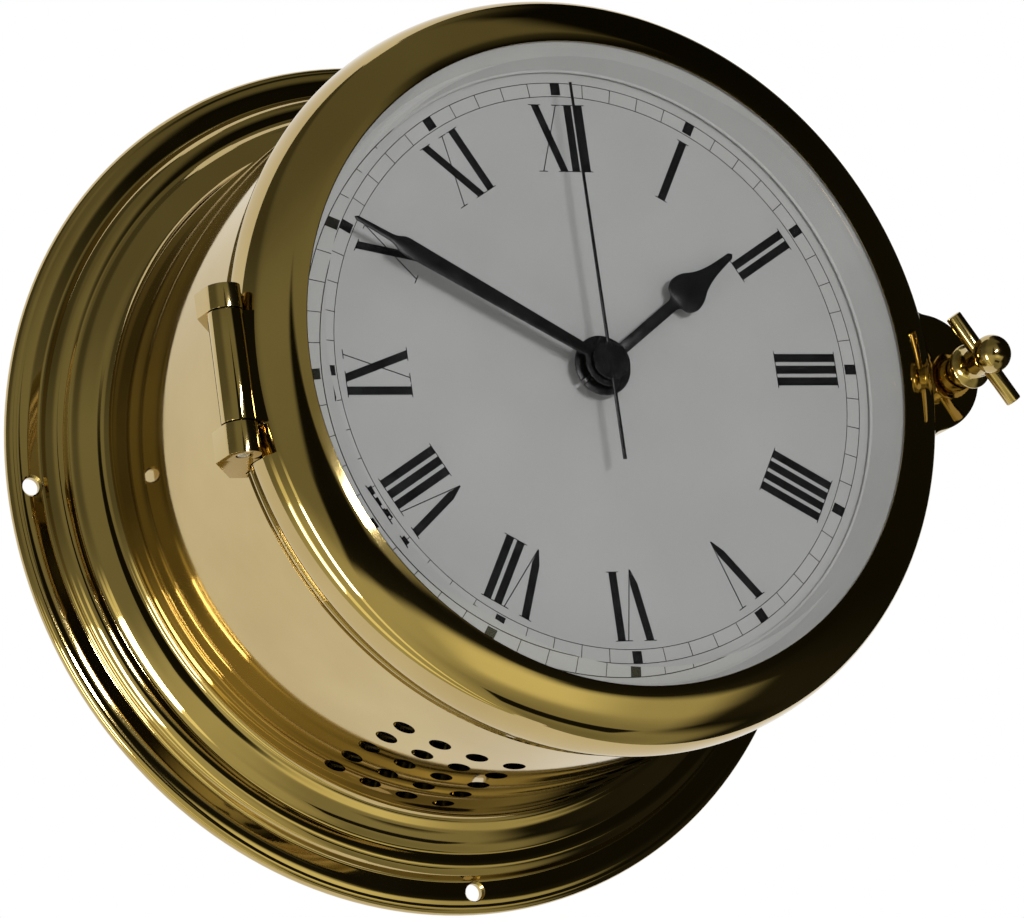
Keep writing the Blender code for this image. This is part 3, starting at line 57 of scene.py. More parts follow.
# Sizes shared by several pieces, the same as in the CAD source unless a comment says otherwise
GAP = 0.0003
SHARP_ANGLE = 32
TURN_STEPS = 192
MID_STEPS = 64
SMALL_STEPS = 32
TUBE_RADIUS = 0.0842
TUBE_WALL = 0.0015
TUBE_REAR = 0.0023
TUBE_FRONT = 0.0838
TUBE_BEAD = (TUBE_RADIUS + 0.0002, TUBE_FRONT - 0.0010, 0.0010)
LIP_INNER = 0.0776
LIP_THICKNESS = 0.0016
FIXING_CIRCLE = 0.1000
FIXING_HOLE = 0.0021
FIXING_COUNTERSINK = 0.0026  # narrower than in CAD, as in the photograph
FIXING_SURFACE = 0.0045
FIXING_HOLES = 4
SOUND_HOLE = 0.0026
SOUND_ROWS = 5
SOUND_COLUMNS = 4
SOUND_ROW_PITCH = 0.00918
SOUND_FIRST_ROW = 0.02433
SOUND_COLUMN_PITCH = math.radians(6.43)
SOUND_FIRST_COLUMN = math.radians(10.6)
APERTURE_RADIUS = 0.0755
BEZEL_CENTRE = (0.0783, 0.0937)
BEZEL_ROUNDING = 0.0103
BEZEL_REAR = 0.0841
BEZEL_RIM = 0.0865
GLASS_RADIUS = 0.0770
GLASS_FLAT = 0.0715
GLASS_FRONT = 0.1061
GLASS_REAR = 0.10365
BEVEL_DROP = 0.00185
BEVEL_STEPS = 10
REHAUT_FOOT = 0.0706
REHAUT_FOOT_HEIGHT = 0.0960
DIAL_RADIUS = 0.0702
DIAL_EDGE = 0.0712
DIAL_FRONT = 0.0956
DIAL_THICKNESS = 0.0008
DIAL_BORE = 0.0043
NUT_RADIUS = 0.0056
NUT_THICKNESS = 0.0016
HINGE_X = -0.0913
HINGE_HEIGHT = 0.0985
BARREL_RADIUS = 0.0040
BARREL_HALF = 0.01265
PIN_BORE = 0.0018
UPRIGHT = Matrix.Rotation(math.radians(-90), 4, "X")
PIN_LINE = Matrix.Translation((HINGE_X, 0, HINGE_HEIGHT)) @ UPRIGHT
LOCK_X = 0.0979
EAR_CENTRE_X = 0.0885
EAR_RADIUS = 0.0142
EAR_FILLET = 0.0050
EAR_FRONT = 0.0948
EAR_EDGE = 0.0010
EAR_HOLE = 0.0026
EAR_ROOT = 0.0852
PIN_RADIUS = 0.0015
UPPER_KNUCKLE = 0.0055
LOWER_KNUCKLE = 0.0070
KNUCKLE_SHOULDER = HINGE_HEIGHT - 0.0060
KNUCKLE_FOOT = TUBE_FRONT - 0.0032
KNUCKLE_FOOT_LEFT = -(TUBE_RADIUS + 0.0024)
LUG_REAR = TUBE_FRONT - 0.0081
LUG_HOLE = 0.0025
SHANK_RADIUS = 0.0023
SHANK_TIP = BEZEL_REAR - 0.0041
COLLAR_RADIUS = 0.0039
COLLAR_LENGTH = 0.0032
SKIRT_RADIUS = 0.0053
SKIRT_RIM = 0.0008
NECK_RADIUS = 0.0034
NECK_HEIGHT = EAR_FRONT + 0.0082
BALL_RADIUS = 0.0045
BALL_HEIGHT = NECK_HEIGHT + 0.0060
TOMMY_RADIUS = 0.0019
TOMMY_LENGTH = 0.0245
TOMMY_HEIGHT = NECK_HEIGHT + 0.0023
TOMMY_ANGLE = math.radians(-58.0)
BACK_RADIUS = 0.0945
BACK_THICKNESS = 0.002
BACK_SCREW_CIRCLE = 0.07915
BACK_SCREW_HEAD = 0.0024
BACK_SCREW_SHANK = 0.0012
PAN_WALL = 0.0012
PAN_SCREW_CIRCLE = 0.0800
PAN_SCREW_FIRST = math.radians(50)
PAN_SCREW_HEAD = 0.0018
PAN_SCREW_SHANK = 0.0010
SCREWS = 3

# Hands: clock angles, backs' heights and lengths
HOUR_ANGLE = math.radians(55.0)
MINUTE_ANGLE = math.radians(300.0)
HAND_THICKNESS = 0.0005
SECOND_THICKNESS = 0.0004
HOUR_HEIGHT = DIAL_FRONT + 0.0032
MINUTE_HEIGHT = HOUR_HEIGHT + HAND_THICKNESS + 0.0021
SECOND_HEIGHT = MINUTE_HEIGHT + HAND_THICKNESS + 0.0009
HOUR_LENGTH = 0.0463
MINUTE_LENGTH = 0.0676
SECOND_LENGTH = 0.0660
SECOND_TAIL = 0.0230
HOUR_HUB = 0.0070
MINUTE_HUB = 0.0056
SECOND_HUB = 0.0044
HUB_SLOT = 0.0008
HOUR_BORE = 0.0031
MINUTE_BORE = 0.0020


# Meshes: each shell is a pair of vertex and face lists in clock space

def in_world(point):
    x, y, z = point
    return (x, -z, y)


def arc(centre_x, centre_y, radius, start, end, pieces):
    """Points on an arc, in a profile or an outline; the angles are in degrees."""
    angles = [math.radians(start + (end - start) * index / pieces) for index in range(pieces + 1)]
    return [(centre_x + radius * math.cos(angle), centre_y + radius * math.sin(angle)) for angle in angles]


def rounded(points, radius, pieces=3):
    """A closed outline with every corner rounded off to about the given radius."""
    result = []
    count = len(points)
    for index, point in enumerate(points):
        here = Vector(point)
        before = Vector(points[index - 1]) - here
        after = Vector(points[(index + 1) % count]) - here
        if min(before.length, after.length) < 1e-7 or before.angle(after) > math.radians(150):
            result.append(tuple(here))
            continue
        reach = min(radius, before.length * 0.45, after.length * 0.45)
        start = here + before.normalized() * reach
        end = here + after.normalized() * reach
        for step in range(pieces + 1):
            t = step / pieces
            spot = start * (1 - t) ** 2 + here * 2 * t * (1 - t) + end * t ** 2
            result.append(tuple(spot))
    return result


def turned(profile, steps=TURN_STEPS, centre=(0.0, 0.0), closed=True):
    """Turn a profile of (radius, height) points about z. An open one starts and ends on the axis."""
    vertices = []
    rows = []
    for radius, height in profile:
        if radius < 1e-7:
            rows.append([len(vertices)])
            vertices.append((centre[0], centre[1], height))
            continue
        rows.append(list(range(len(vertices), len(vertices) + steps)))
        vertices += [(x, y, height) for x, y in ring(radius, steps, centre)]
    faces = []
    pairs = list(zip(rows, rows[1:]))
    if closed:
        pairs.append((rows[-1], rows[0]))
    for low, high in pairs:
        for step in range(steps):
            after = (step + 1) % steps
            corners = [low[step % len(low)], low[after % len(low)], high[after % len(high)], high[step % len(high)]]
            face = list(dict.fromkeys(corners))
            if len(face) > 2:
                faces.append(face)
    return vertices, faces


def extruded(outline, low, high, edge=0.0, holes=(), pieces=3):
    """Raise an outline between two heights, its edges rounded by edge; holes are (x, y, radius)."""
    shape = bmesh.new()
    loops = []
    for points in [outline] + [ring(radius, SMALL_STEPS, (x, y)) for x, y, radius in holes]:
        corners = [shape.verts.new((x, y, low)) for x, y in points]
        loops += [shape.edges.new((corners[i - 1], corners[i])) for i in range(len(corners))]
    bmesh.ops.triangle_fill(shape, use_beauty=True, use_dissolve=False, edges=loops)
    raised = bmesh.ops.extrude_face_region(shape, geom=list(shape.faces))
    top = [item for item in raised["geom"] if isinstance(item, bmesh.types.BMVert)]
    bmesh.ops.translate(shape, verts=top, vec=(0, 0, high - low))
    bmesh.ops.recalc_face_normals(shape, faces=shape.faces)
    if edge > 0:
        sharp = [item for item in shape.edges if len(item.link_faces) == 2
                 and item.calc_face_angle(0) > math.radians(60)
                 and abs(item.verts[0].co.z - item.verts[1].co.z) < 1e-7]
        bmesh.ops.bevel(shape, geom=sharp, offset=edge, offset_type="OFFSET", segments=pieces,
                        profile=0.5, affect="EDGES", clamp_overlap=True)
    shape.verts.index_update()
    shell = ([tuple(vertex.co) for vertex in shape.verts],
             [[vertex.index for vertex in face.verts] for face in shape.faces])
    shape.free()
    return shell


def moved(shell, matrix):
    vertices, faces = shell
    return [tuple(matrix @ Vector(vertex)) for vertex in vertices], faces


def ring(radius, steps, centre=(0.0, 0.0)):
    angles = [math.tau * index / steps for index in range(steps)]
    return [(centre[0] + radius * math.cos(angle), centre[1] + radius * math.sin(angle)) for angle in angles]


def clock_point(radius, angle):
    """A point at a radius, at a clock angle from twelve, clockwise."""
    return (radius * math.sin(angle), radius * math.cos(angle))


def rod(radius, low, high, centre=(0.0, 0.0)):
    return turned([(0.0, high), (radius, high), (radius, low), (0.0, low)], SMALL_STEPS, centre, closed=False)


def make_mesh(name, shells, sharp=SHARP_ANGLE):
    vertices = []
    faces = []
    for more_vertices, more_faces in shells:
        start = len(vertices)
        vertices += [in_world(vertex) for vertex in more_vertices]
        faces += [[start + index for index in face] for face in more_faces]
    mesh = bpy.data.meshes.new(name)
    mesh.from_pydata(vertices, [], faces)
    shape = bmesh.new()
    shape.from_mesh(mesh)
    bmesh.ops.recalc_face_normals(shape, faces=shape.faces)
    shape.to_mesh(mesh)
    shape.free()
    mesh.shade_smooth()
    mesh.set_sharp_from_angle(angle=math.radians(sharp))
    return mesh


def new_object(name, data):
    thing = bpy.data.objects.new(name, data)
    bpy.context.scene.collection.objects.link(thing)
    return thing


def add_piece(name, shells, finish, body, replaces=(), sharp=SHARP_ANGLE):
    """Make a piece that rides on a body and stands for the CAD nodes it replaces."""
    mesh = make_mesh(name, shells, sharp)
    mesh.materials.append(FINISHES[finish])
    piece = new_object(name, mesh)
    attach(piece, body)
    if replaces:
        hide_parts(*replaces)
    return piece


def cut_out(piece, shells, together=True):
    """Take the cutters' shells out of a piece; ones that overlap each other go one at a time."""
    if not together:
        for shell in shells:
            cut_out(piece, [shell])
        return
    cutter = new_object("cutter", make_mesh("cutter", shells))
    modifier = piece.modifiers.new("cut", "BOOLEAN")
    modifier.operation = "DIFFERENCE"
    modifier.solver = "EXACT"
    modifier.object = cutter
    graph = bpy.context.evaluated_depsgraph_get()
    result = bpy.data.meshes.new_from_object(piece.evaluated_get(graph))
    result.shade_smooth()
    result.set_sharp_from_angle(angle=math.radians(SHARP_ANGLE))
    piece.modifiers.clear()
    piece.data = result
    bpy.data.objects.remove(cutter)


def turn_normals(piece, profile):
    """Give the turned faces of a cut piece the normals that its uncut form has."""
    mesh = piece.data
    points = np.array(profile)
    after = np.roll(points, -1, axis=0)
    along = after - points
    length = np.linalg.norm(along, axis=1)
    along = along / length[:, None]
    area = np.sum(points[:, 0] * after[:, 1] - after[:, 0] * points[:, 1])
    side = 1.0 if area > 0 else -1.0
    out = np.stack([along[:, 1], -along[:, 0]], axis=1) * side
    before = np.roll(out, 1, axis=0)
    blend = out + before
    blend = blend / np.linalg.norm(blend, axis=1)[:, None]
    soft = np.sum(out * before, axis=1) > math.cos(math.radians(SHARP_ANGLE))
    first = np.where(soft[:, None], blend, out)
    last = np.where(np.roll(soft, -1)[:, None], np.roll(blend, -1, axis=0), out)
    normals = []
    for face in mesh.polygons:
        centre = face.center
        radius = math.hypot(centre.x, centre.z)
        radial = Vector((centre.x / radius, 0.0, centre.z / radius))
        facing = np.array([face.normal.dot(radial), -face.normal.y])
        spot = np.array([radius, -centre.y])
        offset = spot - points
        part = np.clip(np.sum(offset * along, axis=1), 0.0, length)
        near = np.linalg.norm(offset - along * part[:, None], axis=1)
        match = (out @ facing > 0.985) & (near < 0.0001)
        if not match.any():
            normals += [tuple(face.normal)] * face.loop_total
            continue
        index = int(np.argmin(np.where(match, near, 1.0)))
        for loop in face.loop_indices:
            point = mesh.vertices[mesh.loops[loop].vertex_index].co
            distance = math.hypot(point.x, point.z)
            t = np.dot(np.array([distance, -point.y]) - points[index], along[index]) / length[index]
            t = min(1.0, max(0.0, t))
            normal = first[index] * (1 - t) + last[index] * t
            turn = Vector((point.x / distance * normal[0], -normal[1], point.z / distance * normal[0]))
            normals.append(tuple(turn.normalized()))
    mesh.normals_split_custom_set(normals)


# Materials

def new_material(name):
    material = bpy.data.materials.new(name)
    material.use_nodes = True
    return material, material.node_tree, material.node_tree.nodes["Principled BSDF"]


def feed(tree, node, values):
    """Give a node's inputs their plain values or the sockets that feed them."""
    for name, value in values.items():
        if isinstance(value, bpy.types.NodeSocket):
            tree.links.new(value, node.inputs[name])
        else:
            node.inputs[name].default_value = value
    return node


def new_node(tree, kind, values=None):
    return feed(tree, tree.nodes.new("ShaderNode" + kind), values or {})


def object_noise(tree, scale, detail=3.0, stretch=(1, 1, 1)):
    """Noise in the piece's own space, where one unit is a metre."""
    place = new_node(tree, "TexCoord").outputs["Object"]
    mapping = new_node(tree, "Mapping", {"Vector": place, "Scale": stretch}).outputs["Vector"]
    return new_node(tree, "TexNoise", {"Vector": mapping, "Scale": scale, "Detail": detail}).outputs["Fac"]


def ramp(tree, value, low, high):
    """Map a noise's middle range from one colour to another."""
    node = new_node(tree, "ValToRGB", {"Fac": value})
    for element, position, colour in zip(node.color_ramp.elements, (0.3, 0.7), (low, high)):
        element.position = position
        element.color = (*colour, 1.0)
    return node.outputs["Color"]


def span(tree, value, low, high, start=0.3, end=0.7, kind="LINEAR"):
    """Map a value from start to end to one from low to high."""
    values = {"Value": value, "From Min": start, "From Max": end, "To Min": low, "To Max": high}
    node = new_node(tree, "MapRange", values)
    node.interpolation_type = kind
    return node.outputs["Result"]


def number(tree, operation, first, second=None):
    """A math node on sockets or plain numbers."""
    node = new_node(tree, "Math", {0: first} if second is None else {0: first, 1: second})
    node.operation = operation
    return node.outputs["Value"]


def bump(tree, shader, height, strength, distance):
    node = new_node(tree, "Bump", {"Strength": strength, "Distance": distance, "Height": height})
    feed(tree, shader, {"Normal": node.outputs["Normal"]})


def show(tree, shader_socket):
    feed(tree, tree.nodes["Material Output"], {"Surface": shader_socket})


def textured(name, colour, dark, scale, roughness, metallic=0.0, relief=0.1, depth=0.0001, stretch=(1, 1, 1)):
    """A finish whose colour, gloss and surface vary with noise of the given scale."""
    material, tree, shader = new_material(name)
    noise = object_noise(tree, scale, stretch=stretch)
    feed(tree, shader, {"Base Color": ramp(tree, noise, dark, colour), "Roughness": span(tree, noise, *roughness),
                        "Metallic": metallic})
    bump(tree, shader, object_noise(tree, scale * 6, stretch=stretch), relief, depth)
    return material


def make_glass_material():
    material, tree, shader = new_material("clear_glass")
    smear = object_noise(tree, 25.0)
    feed(tree, shader, {"Base Color": (1.0, 1.0, 1.0, 1.0), "Transmission Weight": 1.0, "IOR": 1.5,
                        "Roughness": span(tree, smear, 0.0, 0.012, 0.45, 0.8)})
    clear = new_node(tree, "BsdfTransparent")
    path = new_node(tree, "LightPath").outputs
    through = number(tree, "MAXIMUM", path["Is Shadow Ray"], path["Is Diffuse Ray"])
    mix = new_node(tree, "MixShader", {"Fac": through, 1: shader.outputs["BSDF"], 2: clear.outputs["BSDF"]})
    show(tree, mix.outputs["Shader"])
    return material


def make_brass(name, turned_finish, gloss=(0.03, 0.07)):
    """Polished brass with slight tarnish, faint scratches and, on turned work, the sheen of lathe marks."""
    material, tree, shader = new_material(name)
    cloud = object_noise(tree, 28.0, 4.0)
    wipe = object_noise(tree, 70.0, 5.0, (1.0, 0.35, 1.0))
    feed(tree, shader, {"Base Color": ramp(tree, cloud, (0.455, 0.340, 0.145), (0.525, 0.405, 0.185)),
                        "Roughness": span(tree, wipe, *gloss), "Metallic": 1.0})
    bump(tree, shader, object_noise(tree, 900.0, 2.0, (1.0, 1.0, 0.08)), 0.035, 0.00002)
    if turned_finish:
        line = new_node(tree, "Tangent")
        line.direction_type = "RADIAL"
        line.axis = "Y"
        feed(tree, shader, {"Anisotropic": 0.55, "Tangent": line.outputs["Tangent"]})
    return material


# Name, light and dark colour, grain, roughness from and to, and where they differ: metal, relief, depth, stretch
TEXTURED = (
    ("steel", (0.55, 0.55, 0.54), (0.42, 0.42, 0.42), 400.0, (0.22, 0.34), 1.0, 0.1, 0.00002),
    ("black_plate", (0.020, 0.020, 0.021), (0.012, 0.012, 0.013), 900.0, (0.42, 0.55), 0.0, 0.3),
    ("pan_grey", (0.34, 0.35, 0.35), (0.28, 0.29, 0.29), 500.0, (0.35, 0.48), 0.8, 0.1, 0.00005),
    ("dial_enamel", (0.375, 0.378, 0.372), (0.357, 0.360, 0.354), 60.0, (0.42, 0.5), 0.0, 0.05, 0.00003),
    ("rehaut_white", (0.395, 0.395, 0.385), (0.37, 0.37, 0.36), 80.0, (0.35, 0.45), 0.0, 0.05, 0.00003),
    ("track_paint", (0.40, 0.40, 0.39), (0.38, 0.38, 0.37), 60.0, (0.42, 0.5), 0.0, 0.05, 0.00003),
    ("dial_ink", (0.012, 0.012, 0.013), (0.006, 0.006, 0.006), 300.0, (0.15, 0.22), 0.0, 0.05, 0.00002),
    ("hand_black", (0.010, 0.010, 0.011), (0.005, 0.005, 0.005), 300.0, (0.16, 0.24), 0.0, 0.08, 0.00003),
    ("black_plastic", (0.024, 0.024, 0.025), (0.016, 0.016, 0.016), 1500.0, (0.38, 0.52), 0.0, 0.3),
    ("wheel_nylon", (0.62, 0.60, 0.52), (0.54, 0.52, 0.45), 200.0, (0.35, 0.5)),
    ("coil_copper", (0.55, 0.20, 0.07), (0.32, 0.10, 0.04), 300.0, (0.22, 0.4), 1.0, 0.9, 0.0002, (1, 1, 30)),
    ("board_green", (0.02, 0.12, 0.05), (0.01, 0.08, 0.03), 150.0, (0.3, 0.45), 0.0, 0.2),
    ("cell_sleeve", (0.05, 0.10, 0.22), (0.03, 0.07, 0.17), 100.0, (0.2, 0.3), 0.0, 0.05, 0.00005),
    ("cone_paper", (0.045, 0.043, 0.040), (0.025, 0.024, 0.022), 1200.0, (0.75, 0.9), 0.0, 0.8, 0.0003),
)
FINISHES = {
    "polished_brass": make_brass("polished_brass", True),
    "small_brass": make_brass("polished_brass_small", False, (0.09, 0.16)),
}
FINISHES.update({name: textured(name, *values) for name, *values in TEXTURED})
FINISHES["clear_glass"] = make_glass_material()


def dress_nodes():
    """Give each CAD node that stays the finish of its own material slot."""
    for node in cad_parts.values():
        for place in node.material_slots:
            if place.material is None or place.material in FINISHES.values():
                continue
            finish = FINISHES.get(place.material.name.split(".")[0])
            if finish is not None:
                place.material = finish


# Case

def sloped(start_radius, start_height, slopes, blend=0.0, step=0.00016):
    """Points inwards from a start, by (radius, tilt in degrees); slopes within blend of a point are averaged."""
    spread = np.linspace(-blend, blend, 9)
    points = [(start_radius, start_height)]
    radius, height = points[0]
    radii = [item[0] for item in slopes][::-1]
    tilts = [item[1] for item in slopes][::-1]
    while radius > radii[0] + 1e-9:
        move = min(step, radius - radii[0])
        tilt = np.radians(np.interp(radius - move / 2 + spread, radii, tilts))
        radius -= move
        height += move * float(np.tan(tilt).mean())
        points.append((radius, height))
    return points


FLANGE_SLOPES = ((0.1030, 24), (0.1020, 17), (0.1008, 9), (0.1003, 4), (0.0977, 4), (0.0974, 30), (0.0972, 76),
                 (0.0969, 76), (0.0966, 54), (0.0954, 42), (0.0950, 20), (0.0937, 11), (0.0930, 4),
                 (0.0921, 4), (0.0917, 40), (0.0908, 52), (0.0902, 38), (0.0893, 31), (0.0874, 34),
                 (0.0868, 20), (0.0855, 20), (0.0851, 40), (0.0846, 66), (0.0844, 70))
FLANGE_BLEND = 0.0004
COLLAR_TOP = 0.0162


def flange_profile():
    collar = TUBE_RADIUS + 0.00002
    front = arc(0.1030, 0.0020, 0.0020, -60, 90, 14)[:-1]
    front += sloped(0.1030, 0.0040, FLANGE_SLOPES, FLANGE_BLEND)
    front += [(collar + 0.0001, COLLAR_TOP), (collar, COLLAR_TOP)]
    back = [(collar, 0.0122), (0.0868, 0.0116), (0.0886, 0.0104), (0.0915, 0.0076), (0.0940, 0.0070),
            (0.0952, 0.0060), (0.0958, 0.0030), (0.1026, 0.0023), (0.1026, 0.0), (0.1040, 0.0)]
    return front + back


def make_flange():
    profile = flange_profile()
    flange = add_piece("flange", [turned(profile)], "polished_brass", "case", ["mounting_flange"])
    depth = FIXING_COUNTERSINK - FIXING_HOLE
    cutters = []
    for index in range(FIXING_HOLES):
        hole = [(0.0, FIXING_SURFACE + 0.002), (FIXING_COUNTERSINK, FIXING_SURFACE + 0.002),
                (FIXING_COUNTERSINK, FIXING_SURFACE + 0.0001), (FIXING_HOLE, FIXING_SURFACE - depth),
                (FIXING_HOLE, -0.002), (0.0, -0.002)]
        centre = clock_point(FIXING_CIRCLE, math.tau * index / FIXING_HOLES)
        cutters.append(turned(hole, SMALL_STEPS, centre, closed=False))
    cut_out(flange, cutters)
    turn_normals(flange, profile)


def make_tube():
    inner = TUBE_RADIUS - TUBE_WALL
    profile = [(LIP_INNER, TUBE_FRONT)] + arc(*TUBE_BEAD, 90, -90, 12) + [
        (TUBE_RADIUS, TUBE_FRONT - 0.0022), (TUBE_RADIUS, TUBE_REAR), (inner, TUBE_REAR),
        (inner, TUBE_FRONT - LIP_THICKNESS), (LIP_INNER, TUBE_FRONT - LIP_THICKNESS)]
    tube = add_piece("case_barrel", [turned(profile)], "polished_brass", "case", ["case_tube"])
    cutters = []
    for side in (-1, 1):
        for column in range(SOUND_COLUMNS):
            angle = math.pi + side * (SOUND_FIRST_COLUMN + column * SOUND_COLUMN_PITCH)
            x, y = clock_point(1.0, angle)
            turn = Vector((x, y, 0.0)).to_track_quat("Z", "Y").to_matrix().to_4x4()
            for row in range(SOUND_ROWS):
                spot = Vector((x * TUBE_RADIUS, y * TUBE_RADIUS, SOUND_FIRST_ROW + row * SOUND_ROW_PITCH))
                cutters.append(moved(rod(SOUND_HOLE, -0.005, 0.005), Matrix.Translation(spot) @ turn))
    cutters += [pan_screw_shell(index, GAP) for index in range(SCREWS)]
    cut_out(tube, cutters)
    turn_normals(tube, profile)


# Bezel and glass

BEZEL_SLOPES = ((0.0886, 86), (0.0881, 78), (0.0875, 68), (0.0867, 56), (0.0857, 42), (0.0844, 32), (0.0830, 29),
                (0.0820, 26), (0.0800, 23), (0.0780, 19), (0.0772, 15), (0.0758, 13))


def bezel_profile():
    shoulder = sloped(BEZEL_CENTRE[0] + BEZEL_ROUNDING, 0.0923, BEZEL_SLOPES)
    inner = APERTURE_RADIUS + 0.0003
    crown = [(APERTURE_RADIUS, shoulder[-1][1] - 0.0002), (inner - 0.0002, shoulder[-1][1])] + shoulder[:0:-1]
    side = arc(*BEZEL_CENTRE, BEZEL_ROUNDING, -5, -40, 14)
    rim = [(BEZEL_RIM + 0.0001, BEZEL_REAR + 0.0026), (BEZEL_RIM, BEZEL_REAR + 0.0022),
           (BEZEL_RIM, BEZEL_REAR + 0.0005), (BEZEL_RIM - 0.0002, BEZEL_REAR + 0.0001),
           (BEZEL_RIM - 0.0005, BEZEL_REAR)]
    inside = [(0.0842, BEZEL_REAR), (0.0842, 0.0970), (0.0800, 0.0970), (0.0800, BEZEL_REAR),
              (0.0773, BEZEL_REAR), (0.0773, 0.10305), (0.0773, 0.1047), (APERTURE_RADIUS, 0.1050)]
    return crown + side + rim + inside


def ear_outline():
    """A round ear that runs into the bezel's rim by two fillets, closed inside the bezel."""
    ring_radius = BEZEL_CENTRE[0] + BEZEL_ROUNDING
    to_fillet = ring_radius + EAR_FILLET
    ear_to_fillet = EAR_RADIUS + EAR_FILLET
    fillet_x = (to_fillet ** 2 - ear_to_fillet ** 2 + EAR_CENTRE_X ** 2) / (2 * EAR_CENTRE_X)
    fillet_y = math.sqrt(to_fillet ** 2 - fillet_x ** 2)
    towards_ring = math.degrees(math.atan2(-fillet_y, -fillet_x) % math.tau)
    towards_ear = math.degrees(math.atan2(-fillet_y, EAR_CENTRE_X - fillet_x) % math.tau)
    upper = arc(fillet_x, fillet_y, EAR_FILLET, towards_ring, towards_ear, 12)
    start = math.degrees(math.atan2(fillet_y, fillet_x - EAR_CENTRE_X))
    nose = arc(EAR_CENTRE_X, 0.0, EAR_RADIUS, start, -start, 48)[1:-1]
    lower = [(x, -y) for x, y in reversed(upper)]
    root = [(math.sqrt(EAR_ROOT ** 2 - y ** 2), y) for y in np.linspace(lower[-1][1], upper[0][1], 17)]
    return upper + nose + lower + root


def make_bezel():
    ear = extruded(ear_outline(), BEZEL_REAR, EAR_FRONT, EAR_EDGE, [(LOCK_X, 0.0, EAR_HOLE)])
    tube = rounded([(PIN_BORE, BARREL_HALF), (BARREL_RADIUS, BARREL_HALF), (BARREL_RADIUS, -BARREL_HALF),
                    (PIN_BORE, -BARREL_HALF)], 0.0003, 2)
    barrel = moved(turned(tube, MID_STEPS), PIN_LINE)
    web_end = -BEZEL_CENTRE[0] - BEZEL_ROUNDING * 0.6
    low = HINGE_HEIGHT - BARREL_RADIUS * 1.3
    high = HINGE_HEIGHT + BARREL_RADIUS * 0.5
    start = HINGE_X + PIN_BORE + 0.0003
    plan = [(start, -high), (web_end, -high), (web_end, -low), (HINGE_X, -low), (HINGE_X, -low + 0.0022),
            (start, -low + 0.0022)]
    web = moved(extruded(plan, -BARREL_HALF, BARREL_HALF), UPRIGHT)
    add_piece("bezel", [turned(bezel_profile()), ear, barrel, web], "polished_brass", "bezel", ["bezel_ring"])


def make_glass():
    profile = [(0.0, GLASS_FRONT), (0.035, GLASS_FRONT), (GLASS_FLAT - 0.0002, GLASS_FRONT)]
    for index in range(BEVEL_STEPS + 1):
        part = index / BEVEL_STEPS
        drop = BEVEL_DROP * (0.85 * part + 0.15 * part ** 2)
        profile.append((GLASS_FLAT + (APERTURE_RADIUS - GLASS_FLAT) * part, GLASS_FRONT - drop))
    profile += [(GLASS_RADIUS, GLASS_REAR + 0.0003), (GLASS_RADIUS, GLASS_REAR), (GLASS_RADIUS - 0.0002, GLASS_REAR),
                (0.035, GLASS_REAR), (0.0, GLASS_REAR)]
    pane = add_piece("glass_pane", [turned(profile, closed=False)], "clear_glass", "bezel", ["glass"], 12)
    top = GLASS_REAR - GAP
    step = REHAUT_FOOT + 0.0006
    ring_profile = [(0.0756, top), (GLASS_RADIUS, top), (GLASS_RADIUS, top - 0.0040),
                    (step + 0.0013, REHAUT_FOOT_HEIGHT), (REHAUT_FOOT, REHAUT_FOOT_HEIGHT),
                    (REHAUT_FOOT, REHAUT_FOOT_HEIGHT + 0.0006), (step, REHAUT_FOOT_HEIGHT + 0.0006)]
    add_piece("rehaut", [turned(rounded(ring_profile, 0.00015, 2))], "rehaut_white", "bezel", ["rehaut_ring"])
    return pane


# Back plate and screws

def pan_screw_spot(index):
    return clock_point(PAN_SCREW_CIRCLE, PAN_SCREW_FIRST + math.tau * index / SCREWS)


def pan_screw_shell(index, clearance=0.0):
    """A countersunk screw of the pan, or with a clearance its hole."""
    top = TUBE_FRONT - GAP / 2 + clearance
    head = PAN_SCREW_HEAD + clearance
    shank = PAN_SCREW_SHANK + clearance
    bottom = TUBE_FRONT - LIP_THICKNESS - 3 * PAN_WALL - clearance
    profile = [(0.0, top), (head - 0.0001, top), (head, top - 0.0001), (shank, top - head + shank), (shank, bottom),
               (0.0, bottom)]
    return turned(profile, SMALL_STEPS, pan_screw_spot(index), closed=False)


def slot_shell(x, y, high, width, depth, angle):
    """A narrow box that cuts a driver's slot across a screw's head."""
    half = width / 2
    long = 0.003
    turn = Matrix.Translation((x, y, 0)) @ Matrix.Rotation(angle, 4, "Z")
    outline = [(-long, -half), (long, -half), (long, half), (-long, half)]
    low, top = sorted((high, high + depth))
    return moved(extruded(outline, low, top), turn)


